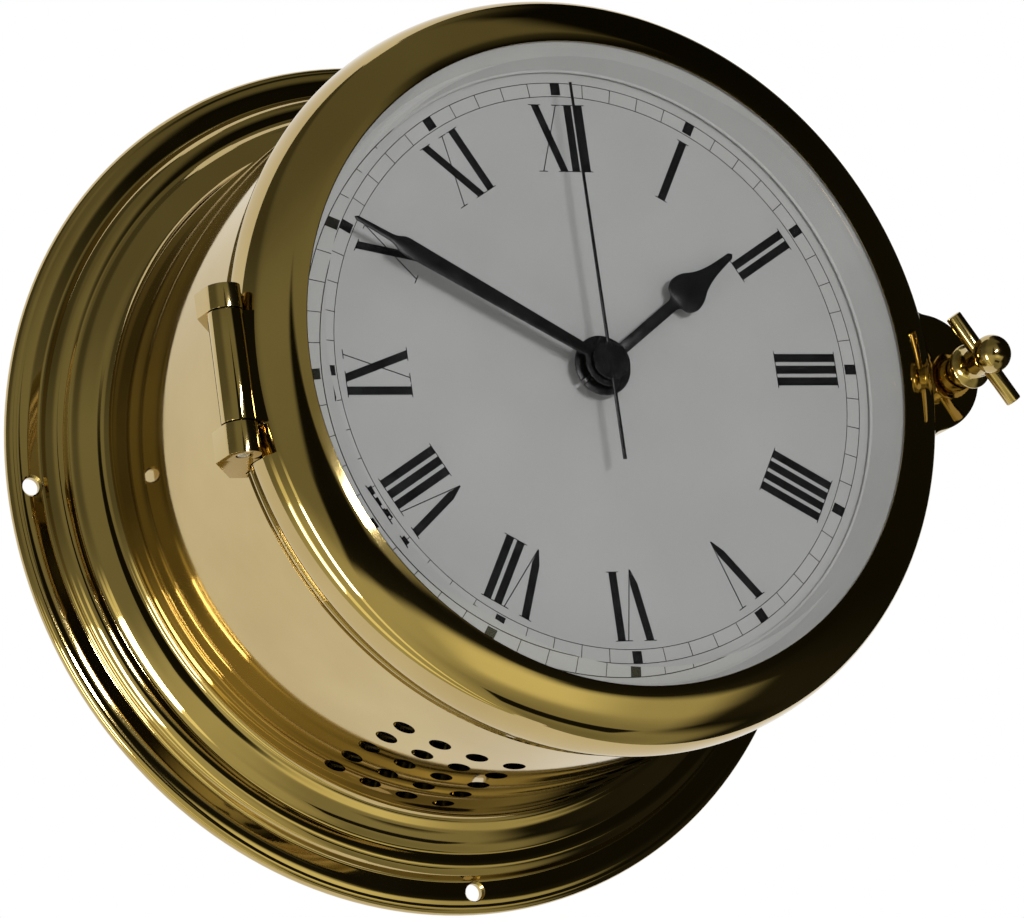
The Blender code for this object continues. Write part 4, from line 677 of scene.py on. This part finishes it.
def make_back():
    holes = [(*clock_point(BACK_SCREW_CIRCLE, math.tau * index / SCREWS), BACK_SCREW_HEAD + GAP)
             for index in range(SCREWS)]
    plate = extruded(ring(BACK_RADIUS, TURN_STEPS), 0.0, BACK_THICKNESS, 0.0003, holes)
    add_piece("back", [plate], "black_plate", "case", ["back_plate"])
    for index, (x, y, _) in enumerate(holes):
        head_top = BACK_THICKNESS * 0.6
        end = BACK_THICKNESS + 0.003
        profile = [(0.0, end), (BACK_SCREW_SHANK, end), (BACK_SCREW_SHANK, head_top), (BACK_SCREW_HEAD, head_top),
                   (BACK_SCREW_HEAD, GAP + 0.0002), (BACK_SCREW_HEAD - 0.0002, GAP), (0.0, GAP)]
        screw = add_piece(f"back_screw_{index + 1}", [turned(profile, SMALL_STEPS, (x, y), closed=False)], "steel",
                          "case", [f"back_plate_screw_{index + 1}"])
        cut_out(screw, [slot_shell(x, y, -0.001, 0.0006, 0.0018, 0.4 + index)])
    for index in range(SCREWS):
        x, y = pan_screw_spot(index)
        screw = add_piece(f"lip_screw_{index + 1}", [pan_screw_shell(index)], "steel", "case",
                          [f"pan_screw_{index + 1}"])
        cut_out(screw, [slot_shell(x, y, TUBE_FRONT - 0.0007, 0.0005, 0.002, 1.1 * index)])


# Hinge and lock

def knuckle_plan():
    """Seen along the pin: round about it, with an arm down to the tube."""
    right = -TUBE_RADIUS * 0.95
    points = [(x, -height) for x, height in arc(HINGE_X, HINGE_HEIGHT, BARREL_RADIUS, 180, -35, 32)]
    return points + [(right, BARREL_RADIUS * 0.7 - HINGE_HEIGHT), (right, -KNUCKLE_FOOT),
                     (KNUCKLE_FOOT_LEFT, -KNUCKLE_FOOT), (HINGE_X - BARREL_RADIUS, -KNUCKLE_SHOULDER)]


def tube_space():
    """Profile of the tube's outside grown by the gap, to cut what is fixed to it."""
    radius, height, rounding = TUBE_BEAD
    bead = arc(radius, height, rounding + GAP, 90, -90, 12)
    wall = TUBE_RADIUS + GAP
    return [(LIP_INNER, TUBE_FRONT + GAP)] + bead + [(wall, TUBE_FRONT - 0.0025), (wall, 0.02), (LIP_INNER, 0.02)]


def make_hinge():
    inner = LIP_INNER
    side = arc(*BEZEL_CENTRE, BEZEL_ROUNDING + GAP, 56, -40, 36)
    rim = BEZEL_RIM + GAP
    bezel_space = side + [(rim, BEZEL_REAR + 0.0022), (rim, BEZEL_REAR + 0.0005 - GAP),
                          (rim - 0.0005, BEZEL_REAR - GAP), (inner, BEZEL_REAR - GAP), (inner, side[0][1])]
    near = BARREL_HALF + GAP
    top = near + UPPER_KNUCKLE
    bottom = -near - LOWER_KNUCKLE
    bore = moved(rod(PIN_BORE, -0.05, 0.05), PIN_LINE)
    for name, low, high in (("upper", near, top), ("lower", bottom, -near)):
        shell = moved(extruded(knuckle_plan(), low, high, 0.0004), UPRIGHT)
        knuckle = add_piece(f"knuckle_{name}", [shell], "small_brass", "case", [f"hinge_knuckle_{name}"])
        cut_out(knuckle, [turned(bezel_space), turned(tube_space()), bore], together=False)
    pin = [(0.0, top), (PIN_RADIUS - 0.0003, top), (PIN_RADIUS, top - 0.0003), (PIN_RADIUS, bottom + 0.0003),
           (PIN_RADIUS - 0.0003, bottom), (0.0, bottom)]
    add_piece("pin", [moved(turned(pin, SMALL_STEPS, closed=False), PIN_LINE)], "steel", "case", ["hinge_pin"])


def make_lock():
    front = BEZEL_REAR - GAP
    lug = extruded(ear_outline(), LUG_REAR, front, EAR_EDGE)
    piece = add_piece("lug", [lug], "small_brass", "case", ["lock_lug"])
    hole = rod(LUG_HOLE, SHANK_TIP - 2 * GAP, front + 0.002, (LOCK_X, 0.0))
    cut_out(piece, [turned(tube_space()), hole], together=False)
    low = EAR_FRONT + GAP
    top = low + COLLAR_LENGTH
    collar = rounded([(EAR_HOLE, top), (COLLAR_RADIUS, top), (COLLAR_RADIUS, low), (EAR_HOLE, low)], 0.0004)
    add_piece("collar", [turned(collar, MID_STEPS, (LOCK_X, 0.0))], "small_brass", "lock_slider", ["lock_collar"])
    rim_low = top + GAP
    rim_top = rim_low + SKIRT_RIM
    profile = [(0.0, SHANK_TIP), (0.0016, SHANK_TIP), (0.0020, SHANK_TIP + 0.0004), (0.0020, BEZEL_REAR + GAP),
               (SHANK_RADIUS, BEZEL_REAR + 2 * GAP), (SHANK_RADIUS, rim_low), (SKIRT_RADIUS - 0.0002, rim_low),
               (SKIRT_RADIUS, rim_low + 0.0002), (SKIRT_RADIUS, rim_top - 0.0002),
               (SKIRT_RADIUS - 0.0001, rim_top)]
    for index in range(1, 17):
        part = index / 16
        radius = NECK_RADIUS + (SKIRT_RADIUS - NECK_RADIUS) * (1 - part) ** 2
        profile.append((radius, rim_top + (NECK_HEIGHT - rim_top) * part))
    neck_angle = math.degrees(math.asin(NECK_RADIUS / BALL_RADIUS)) - 90
    profile += arc(0.0, BALL_HEIGHT, BALL_RADIUS, neck_angle, 90, 28)[:-1] + [(0.0, BALL_HEIGHT + BALL_RADIUS)]
    add_piece("screw", [turned(profile, MID_STEPS, (LOCK_X, 0.0), closed=False)], "small_brass", "lock_turner",
              ["lock_screw"])
    half = TOMMY_LENGTH / 2
    edge = 0.0004
    bar = [(0.0, half), (TOMMY_RADIUS - edge, half), (TOMMY_RADIUS - edge * 0.3, half - edge * 0.3),
           (TOMMY_RADIUS, half - edge), (TOMMY_RADIUS, edge - half),
           (TOMMY_RADIUS - edge * 0.3, edge * 0.3 - half), (TOMMY_RADIUS - edge, -half), (0.0, -half)]
    along = Vector((math.cos(TOMMY_ANGLE), math.sin(TOMMY_ANGLE), 0.0)).to_track_quat("Z", "Y").to_matrix()
    place = Matrix.Translation((LOCK_X, 0, TOMMY_HEIGHT)) @ along.to_4x4()
    add_piece("bar", [moved(turned(bar, MID_STEPS, closed=False), place)], "small_brass", "lock_turner",
              ["tommy_bar"])


# Hands

def smooth_line(points, pieces=6):
    """A smooth curve through the given points."""
    result = []
    last = len(points) - 1
    for index in range(last):
        before = Vector(points[max(index - 1, 0)])
        here = Vector(points[index])
        there = Vector(points[index + 1])
        beyond = Vector(points[min(index + 2, last)])
        for step in range(pieces):
            t = step / pieces
            spot = 0.5 * (2 * here + (there - before) * t + (2 * before - 5 * here + 4 * there - beyond) * t ** 2
                          + (3 * here - before - 3 * there + beyond) * t ** 3)
            result.append(tuple(spot))
    return result + [tuple(points[-1])]


def both_sides(right, tip):
    return right + [tip] + [(-x, y) for x, y in reversed(right)]


def spade_outline():
    """Hour hand: a plain shaft, a heart-shaped spade and a point."""
    length = HOUR_LENGTH
    spade = [(0.00138, 0.540), (0.0020, 0.566), (0.0036, 0.583), (0.0045, 0.618), (0.0046, 0.652),
             (0.0040, 0.700), (0.0028, 0.747), (0.0019, 0.804), (0.0013, 0.873), (0.0008, 0.983)]
    curve = smooth_line([(x, part * length) for x, part in spade])
    return both_sides([(0.00138, HOUR_BORE)] + curve, (0.0, length))


def lance_outline():
    """Minute hand: widens towards its outer third, then steps in to a fine lance."""
    length = MINUTE_LENGTH
    lance = [(0.0021, 0.785), (0.0021, 0.795), (0.0019, 0.815), (0.0011, 0.840), (0.0008, 0.873), (0.0005, 0.991)]
    curve = smooth_line([(x, part * length) for x, part in lance])
    return both_sides([(0.0013, MINUTE_BORE)] + curve, (0.0, length))


def hub_outline(outer, inner, slot):
    """A round hub, open by a slot at six o'clock."""
    gap_out = math.degrees(math.asin(slot / 2 / outer))
    gap_in = math.degrees(math.asin(slot / 2 / inner))
    return (arc(0.0, 0.0, outer, gap_out - 90, 270 - gap_out, MID_STEPS)
            + arc(0.0, 0.0, inner, 270 - gap_in, gap_in - 90, MID_STEPS))


def make_hands():
    edge = 0.00008
    top = HOUR_HEIGHT + HAND_THICKNESS
    turn = Matrix.Rotation(-HOUR_ANGLE, 4, "Z")
    hour = [extruded(spade_outline(), HOUR_HEIGHT, top, edge, pieces=2),
            extruded(hub_outline(HOUR_HUB, HOUR_BORE, HUB_SLOT), HOUR_HEIGHT, top, edge, pieces=2)]
    add_piece("hour_spade", [moved(shell, turn) for shell in hour], "hand_black", "hour_group", ["hour_hand"])
    top = MINUTE_HEIGHT + HAND_THICKNESS
    turn = Matrix.Rotation(-MINUTE_ANGLE, 4, "Z")
    hub = [(MINUTE_BORE, MINUTE_HEIGHT), (MINUTE_HUB, MINUTE_HEIGHT), (MINUTE_HUB, top), (MINUTE_BORE, top)]
    minute = [extruded(lance_outline(), MINUTE_HEIGHT, top, edge, pieces=2), turned(rounded(hub, edge), MID_STEPS)]
    add_piece("minute_lance", [moved(shell, turn) for shell in minute], "hand_black", "minute_group",
              ["minute_hand"])
    top = SECOND_HEIGHT + SECOND_THICKNESS
    needle = [(0.00045, -SECOND_TAIL), (0.0003, SECOND_LENGTH), (-0.0003, SECOND_LENGTH), (-0.00045, -SECOND_TAIL)]
    cap = [(0.0, SECOND_HEIGHT), (SECOND_HUB, SECOND_HEIGHT), (SECOND_HUB, top - edge), (SECOND_HUB - edge, top),
           (0.0, top)]
    second = [extruded(needle, SECOND_HEIGHT, top, edge, pieces=2), turned(cap, MID_STEPS, closed=False)]
    add_piece("second_needle", second, "hand_black", "second_group", ["second_hand"])


# Dial and its print

PRINT_HEIGHT = 0.00003
PRINT_FOOT = DIAL_FRONT + 0.000005
TRACK_OUTER = 0.0683
TRACK_INNER = 0.06505
TRACK_LINE = 0.00016
TRACK_BLOCK = 0.0024
BAND_INNER = 0.0648
NUMERAL_INNER = 0.0470
NUMERAL_OUTER = 0.0631
STEM = 0.00195
HAIR = 0.00024
SERIF = 0.00016
ADVANCE = {"I": 0.0028, "V": 0.0066, "X": 0.0086}
X_REACH = 0.00275
V_THICK = 0.0026
V_THIN = 0.0030
V_FULL = 0.0034
SERIF_PROUD = 0.0006


def slanted(x_low, x_high, y_low, y_high, width, low_width=None):
    """A stroke between two heights whose level cuts are width wide."""
    half = width / 2
    low = half if low_width is None else low_width / 2
    return [(x_low - low, y_low), (x_low + low, y_low), (x_high + half, y_high), (x_high - half, y_high)]


def serif(x, y, reach, curve=0.0004):
    """A hairline foot that swells into its stroke a little."""
    toward = SERIF if y == 0 else -SERIF
    return [(x - reach, y), (x + reach, y), (x + reach, y + toward), (x + reach - curve, y + toward * 1.3),
            (x - reach + curve, y + toward * 1.3), (x - reach, y + toward)]


def numeral_strokes(text):
    """Strokes of a Roman numeral, as outlines around x = 0 with the foot at y = 0."""
    height = NUMERAL_OUTER - NUMERAL_INNER
    foot = STEM / 2 + SERIF_PROUD
    pen = -sum(ADVANCE[letter] for letter in text) / 2
    if "X" in text and len(text) > 1:
        pen -= 0.0004
    strokes = []
    for letter in text:
        middle = pen + ADVANCE[letter] / 2
        pen += ADVANCE[letter]
        if letter == "I":
            strokes.append(slanted(middle, middle, 0, height, STEM))
            strokes += [serif(middle, 0, foot), serif(middle, height, foot)]
        elif letter == "V":
            tip = -0.0004
            high = middle - V_THICK
            bend = V_FULL / (height - tip)
            low_x = middle + 0.0002 + (high - middle - 0.0002) * bend
            strokes.append([(middle + 0.0001, tip), (middle + 0.0003, tip), (low_x + STEM / 2, tip + V_FULL),
                            (high + STEM / 2, height), (high - STEM / 2, height), (low_x - STEM / 2, tip + V_FULL)])
            strokes.append(slanted(middle + 0.0003, middle + V_THIN, tip, height, HAIR))
            strokes += [serif(middle - V_THICK, height, foot), serif(middle + V_THIN, height, foot * 0.7)]
        else:
            strokes.append(slanted(middle + X_REACH, middle - X_REACH, 0, height, STEM))
            strokes.append(slanted(middle - X_REACH, middle + X_REACH, 0, height, HAIR))
            strokes += [serif(middle + X_REACH, 0, foot), serif(middle - X_REACH, height, foot)]
            strokes += [serif(middle - X_REACH, 0, foot * 0.7), serif(middle + X_REACH, height, foot * 0.7)]
    return strokes


def printed(outlines, lift=0.0):
    """Flat outlines as thin print on the dial."""
    shells = []
    low = PRINT_FOOT + lift
    for points in outlines:
        count = len(points)
        vertices = [(x, y, low) for x, y in points] + [(x, y, low + PRINT_HEIGHT) for x, y in points]
        faces = [list(range(count, 2 * count)), list(range(count - 1, -1, -1))]
        faces += [[i, (i + 1) % count, count + (i + 1) % count, count + i] for i in range(count)]
        shells.append((vertices, faces))
    return shells


def printed_ring(inner, outer, lift=0.0):
    low = PRINT_FOOT + lift
    high = low + PRINT_HEIGHT
    return turned([(inner, low), (inner, high), (outer, high), (outer, low)])


def make_dial():
    profile = [(DIAL_BORE, DIAL_FRONT), (0.03, DIAL_FRONT), (DIAL_EDGE - 0.0001, DIAL_FRONT),
               (DIAL_EDGE, DIAL_FRONT - 0.0001), (DIAL_EDGE, DIAL_FRONT - DIAL_THICKNESS),
               (DIAL_BORE, DIAL_FRONT - DIAL_THICKNESS)]
    add_piece("dial_plate", [turned(profile)], "dial_enamel", "case", ["dial"])
    names = ["XII", "I", "II", "III", "IIII", "V", "VI", "VII", "VIII", "IX", "X", "XI"]
    outlines = []
    for hour, name in enumerate(names):
        turn = Matrix.Rotation(-math.radians(30 * hour), 2)
        for stroke in numeral_strokes(name):
            outlines.append([tuple(turn @ Vector((x, y + NUMERAL_INNER))) for x, y in stroke])
    add_piece("dial_numerals", printed(outlines), "dial_ink", "case")
    add_piece("track_band", [printed_ring(BAND_INNER, DIAL_EDGE - 0.0001)], "track_paint", "case")
    marks = []
    for minute in range(60):
        turn = Matrix.Rotation(-math.radians(6 * minute), 2)
        half = TRACK_LINE / 2
        inner = TRACK_INNER
        if minute % 5 == 0:
            half = TRACK_BLOCK / 2
            inner = TRACK_INNER + 0.00035
        box = [(-half, inner), (half, inner), (half, TRACK_OUTER), (-half, TRACK_OUTER)]
        marks.append([tuple(turn @ Vector(point)) for point in box])
    shells = printed(marks, PRINT_HEIGHT)
    for radius in (TRACK_INNER, TRACK_OUTER):
        shells.append(printed_ring(radius - TRACK_LINE / 2, radius + TRACK_LINE / 2, PRINT_HEIGHT))
    add_piece("minute_track", shells, "dial_ink", "case")


def make_dial_carrier():
    """The pan behind the dial and the nut that holds the movement to it."""
    front = DIAL_FRONT - DIAL_THICKNESS - GAP
    foot_top = TUBE_FRONT - LIP_THICKNESS - GAP
    foot = TUBE_RADIUS - TUBE_WALL - 2 * GAP
    wall = PAN_WALL
    profile = [(DIAL_BORE, front), (DIAL_RADIUS, front), (DIAL_RADIUS, foot_top), (foot, foot_top),
               (foot, foot_top - wall), (DIAL_RADIUS - wall, foot_top - wall), (DIAL_RADIUS - wall, front - wall),
               (DIAL_BORE, front - wall)]
    pan = add_piece("pan", [turned(rounded(profile, 0.0002, 2))], "pan_grey", "case", ["dial_pan"])
    cut_out(pan, [pan_screw_shell(index, GAP) for index in range(SCREWS)])
    low = DIAL_FRONT + GAP
    nut = extruded(ring(NUT_RADIUS, 6), low, low + NUT_THICKNESS, 0.0002, [(0.0, 0.0, DIAL_BORE)])
    add_piece("nut", [nut], "steel", "case", ["dial_nut"])


# Stage

FLOOR_DROP = 0.62
FLOOR_HALF = 6.0
FLOOR_GLOW = 0.42
ROOM_RADIUS = 2.4
ROOM_TINT = (1.0, 0.95, 0.56)
AMBIENT = 0.44

# What brass mirrors of the room. A patch adds its amount between angles from straight ahead and from level
ROOM_LEVEL = 0.27
ROOM_PATCHES = (
    (0.36, (), (-8, -26)),
    (-0.11, (), (20, 45)),
    (-0.26, (-40, 0), (-32, -46)),
    (-0.10, (), (-56, -80)),
    (0.45, (-12, 2, 14, 30), (-40, -32, -26, -18)),
    (0.80, (-70, -68, -60, -58), (-84, -78, -12, -4)),
    (0.80, (-108, -106, -96, -94), (-84, -78, -12, -4)),
)
ROOM_SIDE = ((-45, -75), (-12, 8))
SIDE_DARKENING = 0.5
ROOM_DARK = (
    ((8, 20), (-26, -21, 38, 52)),
    ((38, 52), (-58, -42, 62, 82)),
    ((-23, -17), (-23, -18, -8, -4)),
    ((-12, -9, 38, 41), (-63, -60, -51, -49)),
)
DARKENING = 0.965
POST_ACROSS = -16.0
POST_BREADTH = 7.0
POST_TAPER = 0.27
POST_FOOT = (-23, -18)
ROOM_COLUMNS = 56
ROOM_ROWS = 36

# Lamps: name, degrees across and up from the dial's front, size, watts and degrees of roll
LAMP_DISTANCE = 1.5
LAMPS = (
    ("front_softbox", 2.0, 2.0, (0.40, 0.10), 8.5, 28),
    ("left_window", -64.0, -28.0, (0.20, 0.60), 5.0, 0),
    ("side_window", -101.0, -28.0, (0.20, 0.60), 2.0, 0),
)


def soft_step(tree, value, start, end):
    """Goes smoothly from 0 at start to 1 at end, or down where end is below start."""
    if start < end:
        return span(tree, value, 0.0, 1.0, start, end, "SMOOTHSTEP")
    return span(tree, value, 1.0, 0.0, end, start, "SMOOTHSTEP")


def window(tree, across, height, across_ends, height_ends):
    """1 in a soft-edged part of the room; four ends bound it from both sides, two from one and none not at all."""
    edges = []
    for value, ends in ((across, across_ends), (height, height_ends)):
        if ends:
            edges.append(soft_step(tree, value, *ends[:2]))
        if len(ends) > 2:
            edges.append(soft_step(tree, value, *ends[:1:-1]))
    return product(tree, *edges)


def product(tree, *values):
    result = values[0]
    for value in values[1:]:
        result = number(tree, "MULTIPLY", result, value)
    return result


def make_floor():
    mesh = bpy.data.meshes.new("floor")
    corners = [(x * FLOOR_HALF, y * FLOOR_HALF, -FLOOR_DROP) for x, y in ((-1, -1), (1, -1), (1, 1), (-1, 1))]
    mesh.from_pydata(corners, [], [(0, 1, 2, 3)])
    material, tree, shader = new_material("floor")
    grain = object_noise(tree, 3.0)
    feed(tree, shader, {"Base Color": ramp(tree, grain, (0.80, 0.80, 0.79), (0.84, 0.84, 0.83)), "Roughness": 0.9})
    path = new_node(tree, "LightPath").outputs
    seen = number(tree, "MAXIMUM", path["Is Camera Ray"], path["Is Transmission Ray"])
    glow = new_node(tree, "Emission", {"Strength": number(tree, "MULTIPLY", seen, FLOOR_GLOW)})
    both = new_node(tree, "AddShader", {0: shader.outputs["BSDF"], 1: glow.outputs["Emission"]})
    show(tree, both.outputs["Shader"])
    mesh.materials.append(material)
    floor = new_object("floor", mesh)
    floor.visible_glossy = False


def room_material():
    """The dim side of the studio that polished metal mirrors: paler below, dark to the right."""
    material, tree, _ = new_material("room")
    split = new_node(tree, "SeparateXYZ", {"Vector": new_node(tree, "TexCoord").outputs["Object"]}).outputs
    across = number(tree, "ARCTAN2", split["X"], number(tree, "MULTIPLY", split["Y"], -1.0))
    across = number(tree, "MULTIPLY", across, 180 / math.pi)
    height = number(tree, "ARCSINE", number(tree, "DIVIDE", split["Z"], ROOM_RADIUS))
    height = number(tree, "MULTIPLY", height, 180 / math.pi)
    level = ROOM_LEVEL
    for amount, *ends in ROOM_PATCHES:
        level = number(tree, "ADD", level, product(tree, window(tree, across, height, *ends), amount))
    side = product(tree, window(tree, across, height, *ROOM_SIDE), SIDE_DARKENING)
    level = product(tree, level, number(tree, "SUBTRACT", 1.0, side))
    dark = 0.0
    for ends in ROOM_DARK:
        dark = number(tree, "MAXIMUM", dark, window(tree, across, height, *ends))
    breadth = number(tree, "SUBTRACT", POST_BREADTH, number(tree, "MULTIPLY", height, POST_TAPER))
    inside = number(tree, "ABSOLUTE", number(tree, "SUBTRACT", across, POST_ACROSS))
    post = window(tree, number(tree, "SUBTRACT", breadth, inside), height, (-1.5, 1.5), POST_FOOT)
    dark = product(tree, number(tree, "MAXIMUM", dark, post), DARKENING)
    level = product(tree, level, number(tree, "SUBTRACT", 1.0, dark))
    show(tree, new_node(tree, "Emission", {"Color": (*ROOM_TINT, 1.0), "Strength": level}).outputs["Emission"])
    return material


def towards(across, height, distance):
    """A point in clock space, at angles in degrees from straight in front of the dial and from level."""
    across, height = math.radians(across), math.radians(height)
    level = distance * math.cos(height)
    return (level * math.sin(across), distance * math.sin(height), level * math.cos(across))


def make_room():
    """A curved screen in front of the clock that only mirrors show."""
    vertices = []
    for row in range(ROOM_ROWS + 1):
        for column in range(ROOM_COLUMNS + 1):
            across, height = -122 + 250 * column / ROOM_COLUMNS, -86 + 172 * row / ROOM_ROWS
            vertices.append(in_world(towards(across, height, ROOM_RADIUS)))
    wide = ROOM_COLUMNS + 1
    corners = [row * wide + column for row in range(ROOM_ROWS) for column in range(ROOM_COLUMNS)]
    faces = [(corner, corner + 1, corner + wide + 1, corner + wide) for corner in corners]
    mesh = bpy.data.meshes.new("room")
    mesh.from_pydata(vertices, [], faces)
    mesh.materials.append(room_material())
    room = new_object("room", mesh)
    room.visible_camera = False
    room.visible_diffuse = False
    room.visible_transmission = False
    room.visible_shadow = False


def make_world():
    """A white background, also where glass and metal show it, and a plain level of light."""
    world = bpy.data.worlds.new("studio")
    bpy.context.scene.world = world
    world.use_nodes = True
    tree = world.node_tree
    path = new_node(tree, "LightPath").outputs
    bounced = number(tree, "ADD", path["Diffuse Depth"], path["Glossy Depth"])
    behind_glass = product(tree, path["Is Transmission Ray"], number(tree, "LESS_THAN", bounced, 0.5))
    in_metal = product(tree, path["Is Glossy Ray"], number(tree, "LESS_THAN", path["Transmission Depth"], 0.5))
    seen = number(tree, "MAXIMUM", path["Is Camera Ray"], behind_glass)
    seen = number(tree, "MAXIMUM", seen, in_metal)
    veil = product(tree, path["Is Transmission Ray"], number(tree, "GREATER_THAN", bounced, 0.5))
    level = product(tree, number(tree, "SUBTRACT", 1.0, veil), AMBIENT)
    strength = number(tree, "MAXIMUM", seen, level)
    feed(tree, tree.nodes["Background"], {"Color": (1.0, 1.0, 1.0, 1.0), "Strength": strength})


def make_lights(glass):
    """Three soft lamps, the front one not mirrored by the glass, where it would hide the dial."""
    for name, across, height, size, power, roll in LAMPS:
        lamp = bpy.data.lights.new(name, "AREA")
        lamp.shape = "RECTANGLE"
        lamp.size, lamp.size_y = size
        lamp.energy = power
        thing = new_object(name, lamp)
        thing.location = in_world(towards(across, height, LAMP_DISTANCE))
        aim = Vector(in_world((0.0, 0.0, DIAL_FRONT))) - thing.location
        turn = aim.to_track_quat("-Z", "Y").to_matrix() @ Matrix.Rotation(math.radians(roll), 3, "Z")
        thing.rotation_euler = turn.to_euler()
    unlit = bpy.data.collections.new("not_lit_by_front_softbox")
    unlit.objects.link(glass)
    bpy.data.objects["front_softbox"].light_linking.receiver_collection = unlit
    unlit.collection_objects[0].light_linking.link_state = "EXCLUDE"


def make_camera():
    data = bpy.data.cameras.new("camera")
    data.sensor_width = SENSOR_WIDTH
    data.lens = FOCAL_LENGTH
    data.clip_end = 10.0
    camera = new_object("camera", data)
    turn = (Matrix.Rotation(-HEADING, 4, "Z") @ Matrix.Rotation(math.radians(90) + PITCH, 4, "X")
            @ Matrix.Rotation(ROLL, 4, "Z"))
    camera.matrix_world = turn @ Matrix.Translation((AIM_RIGHT, -AIM_DOWN, CAMERA_DISTANCE))
    bpy.context.scene.camera = camera


make_flange()
make_tube()
make_back()
make_bezel()
glass_pane = make_glass()
make_hinge()
make_lock()
make_dial()
make_dial_carrier()
make_hands()
dress_nodes()
make_floor()
make_room()
make_world()
make_lights(glass_pane)
make_camera()
bpy.context.scene.view_settings.view_transform = "Standard"
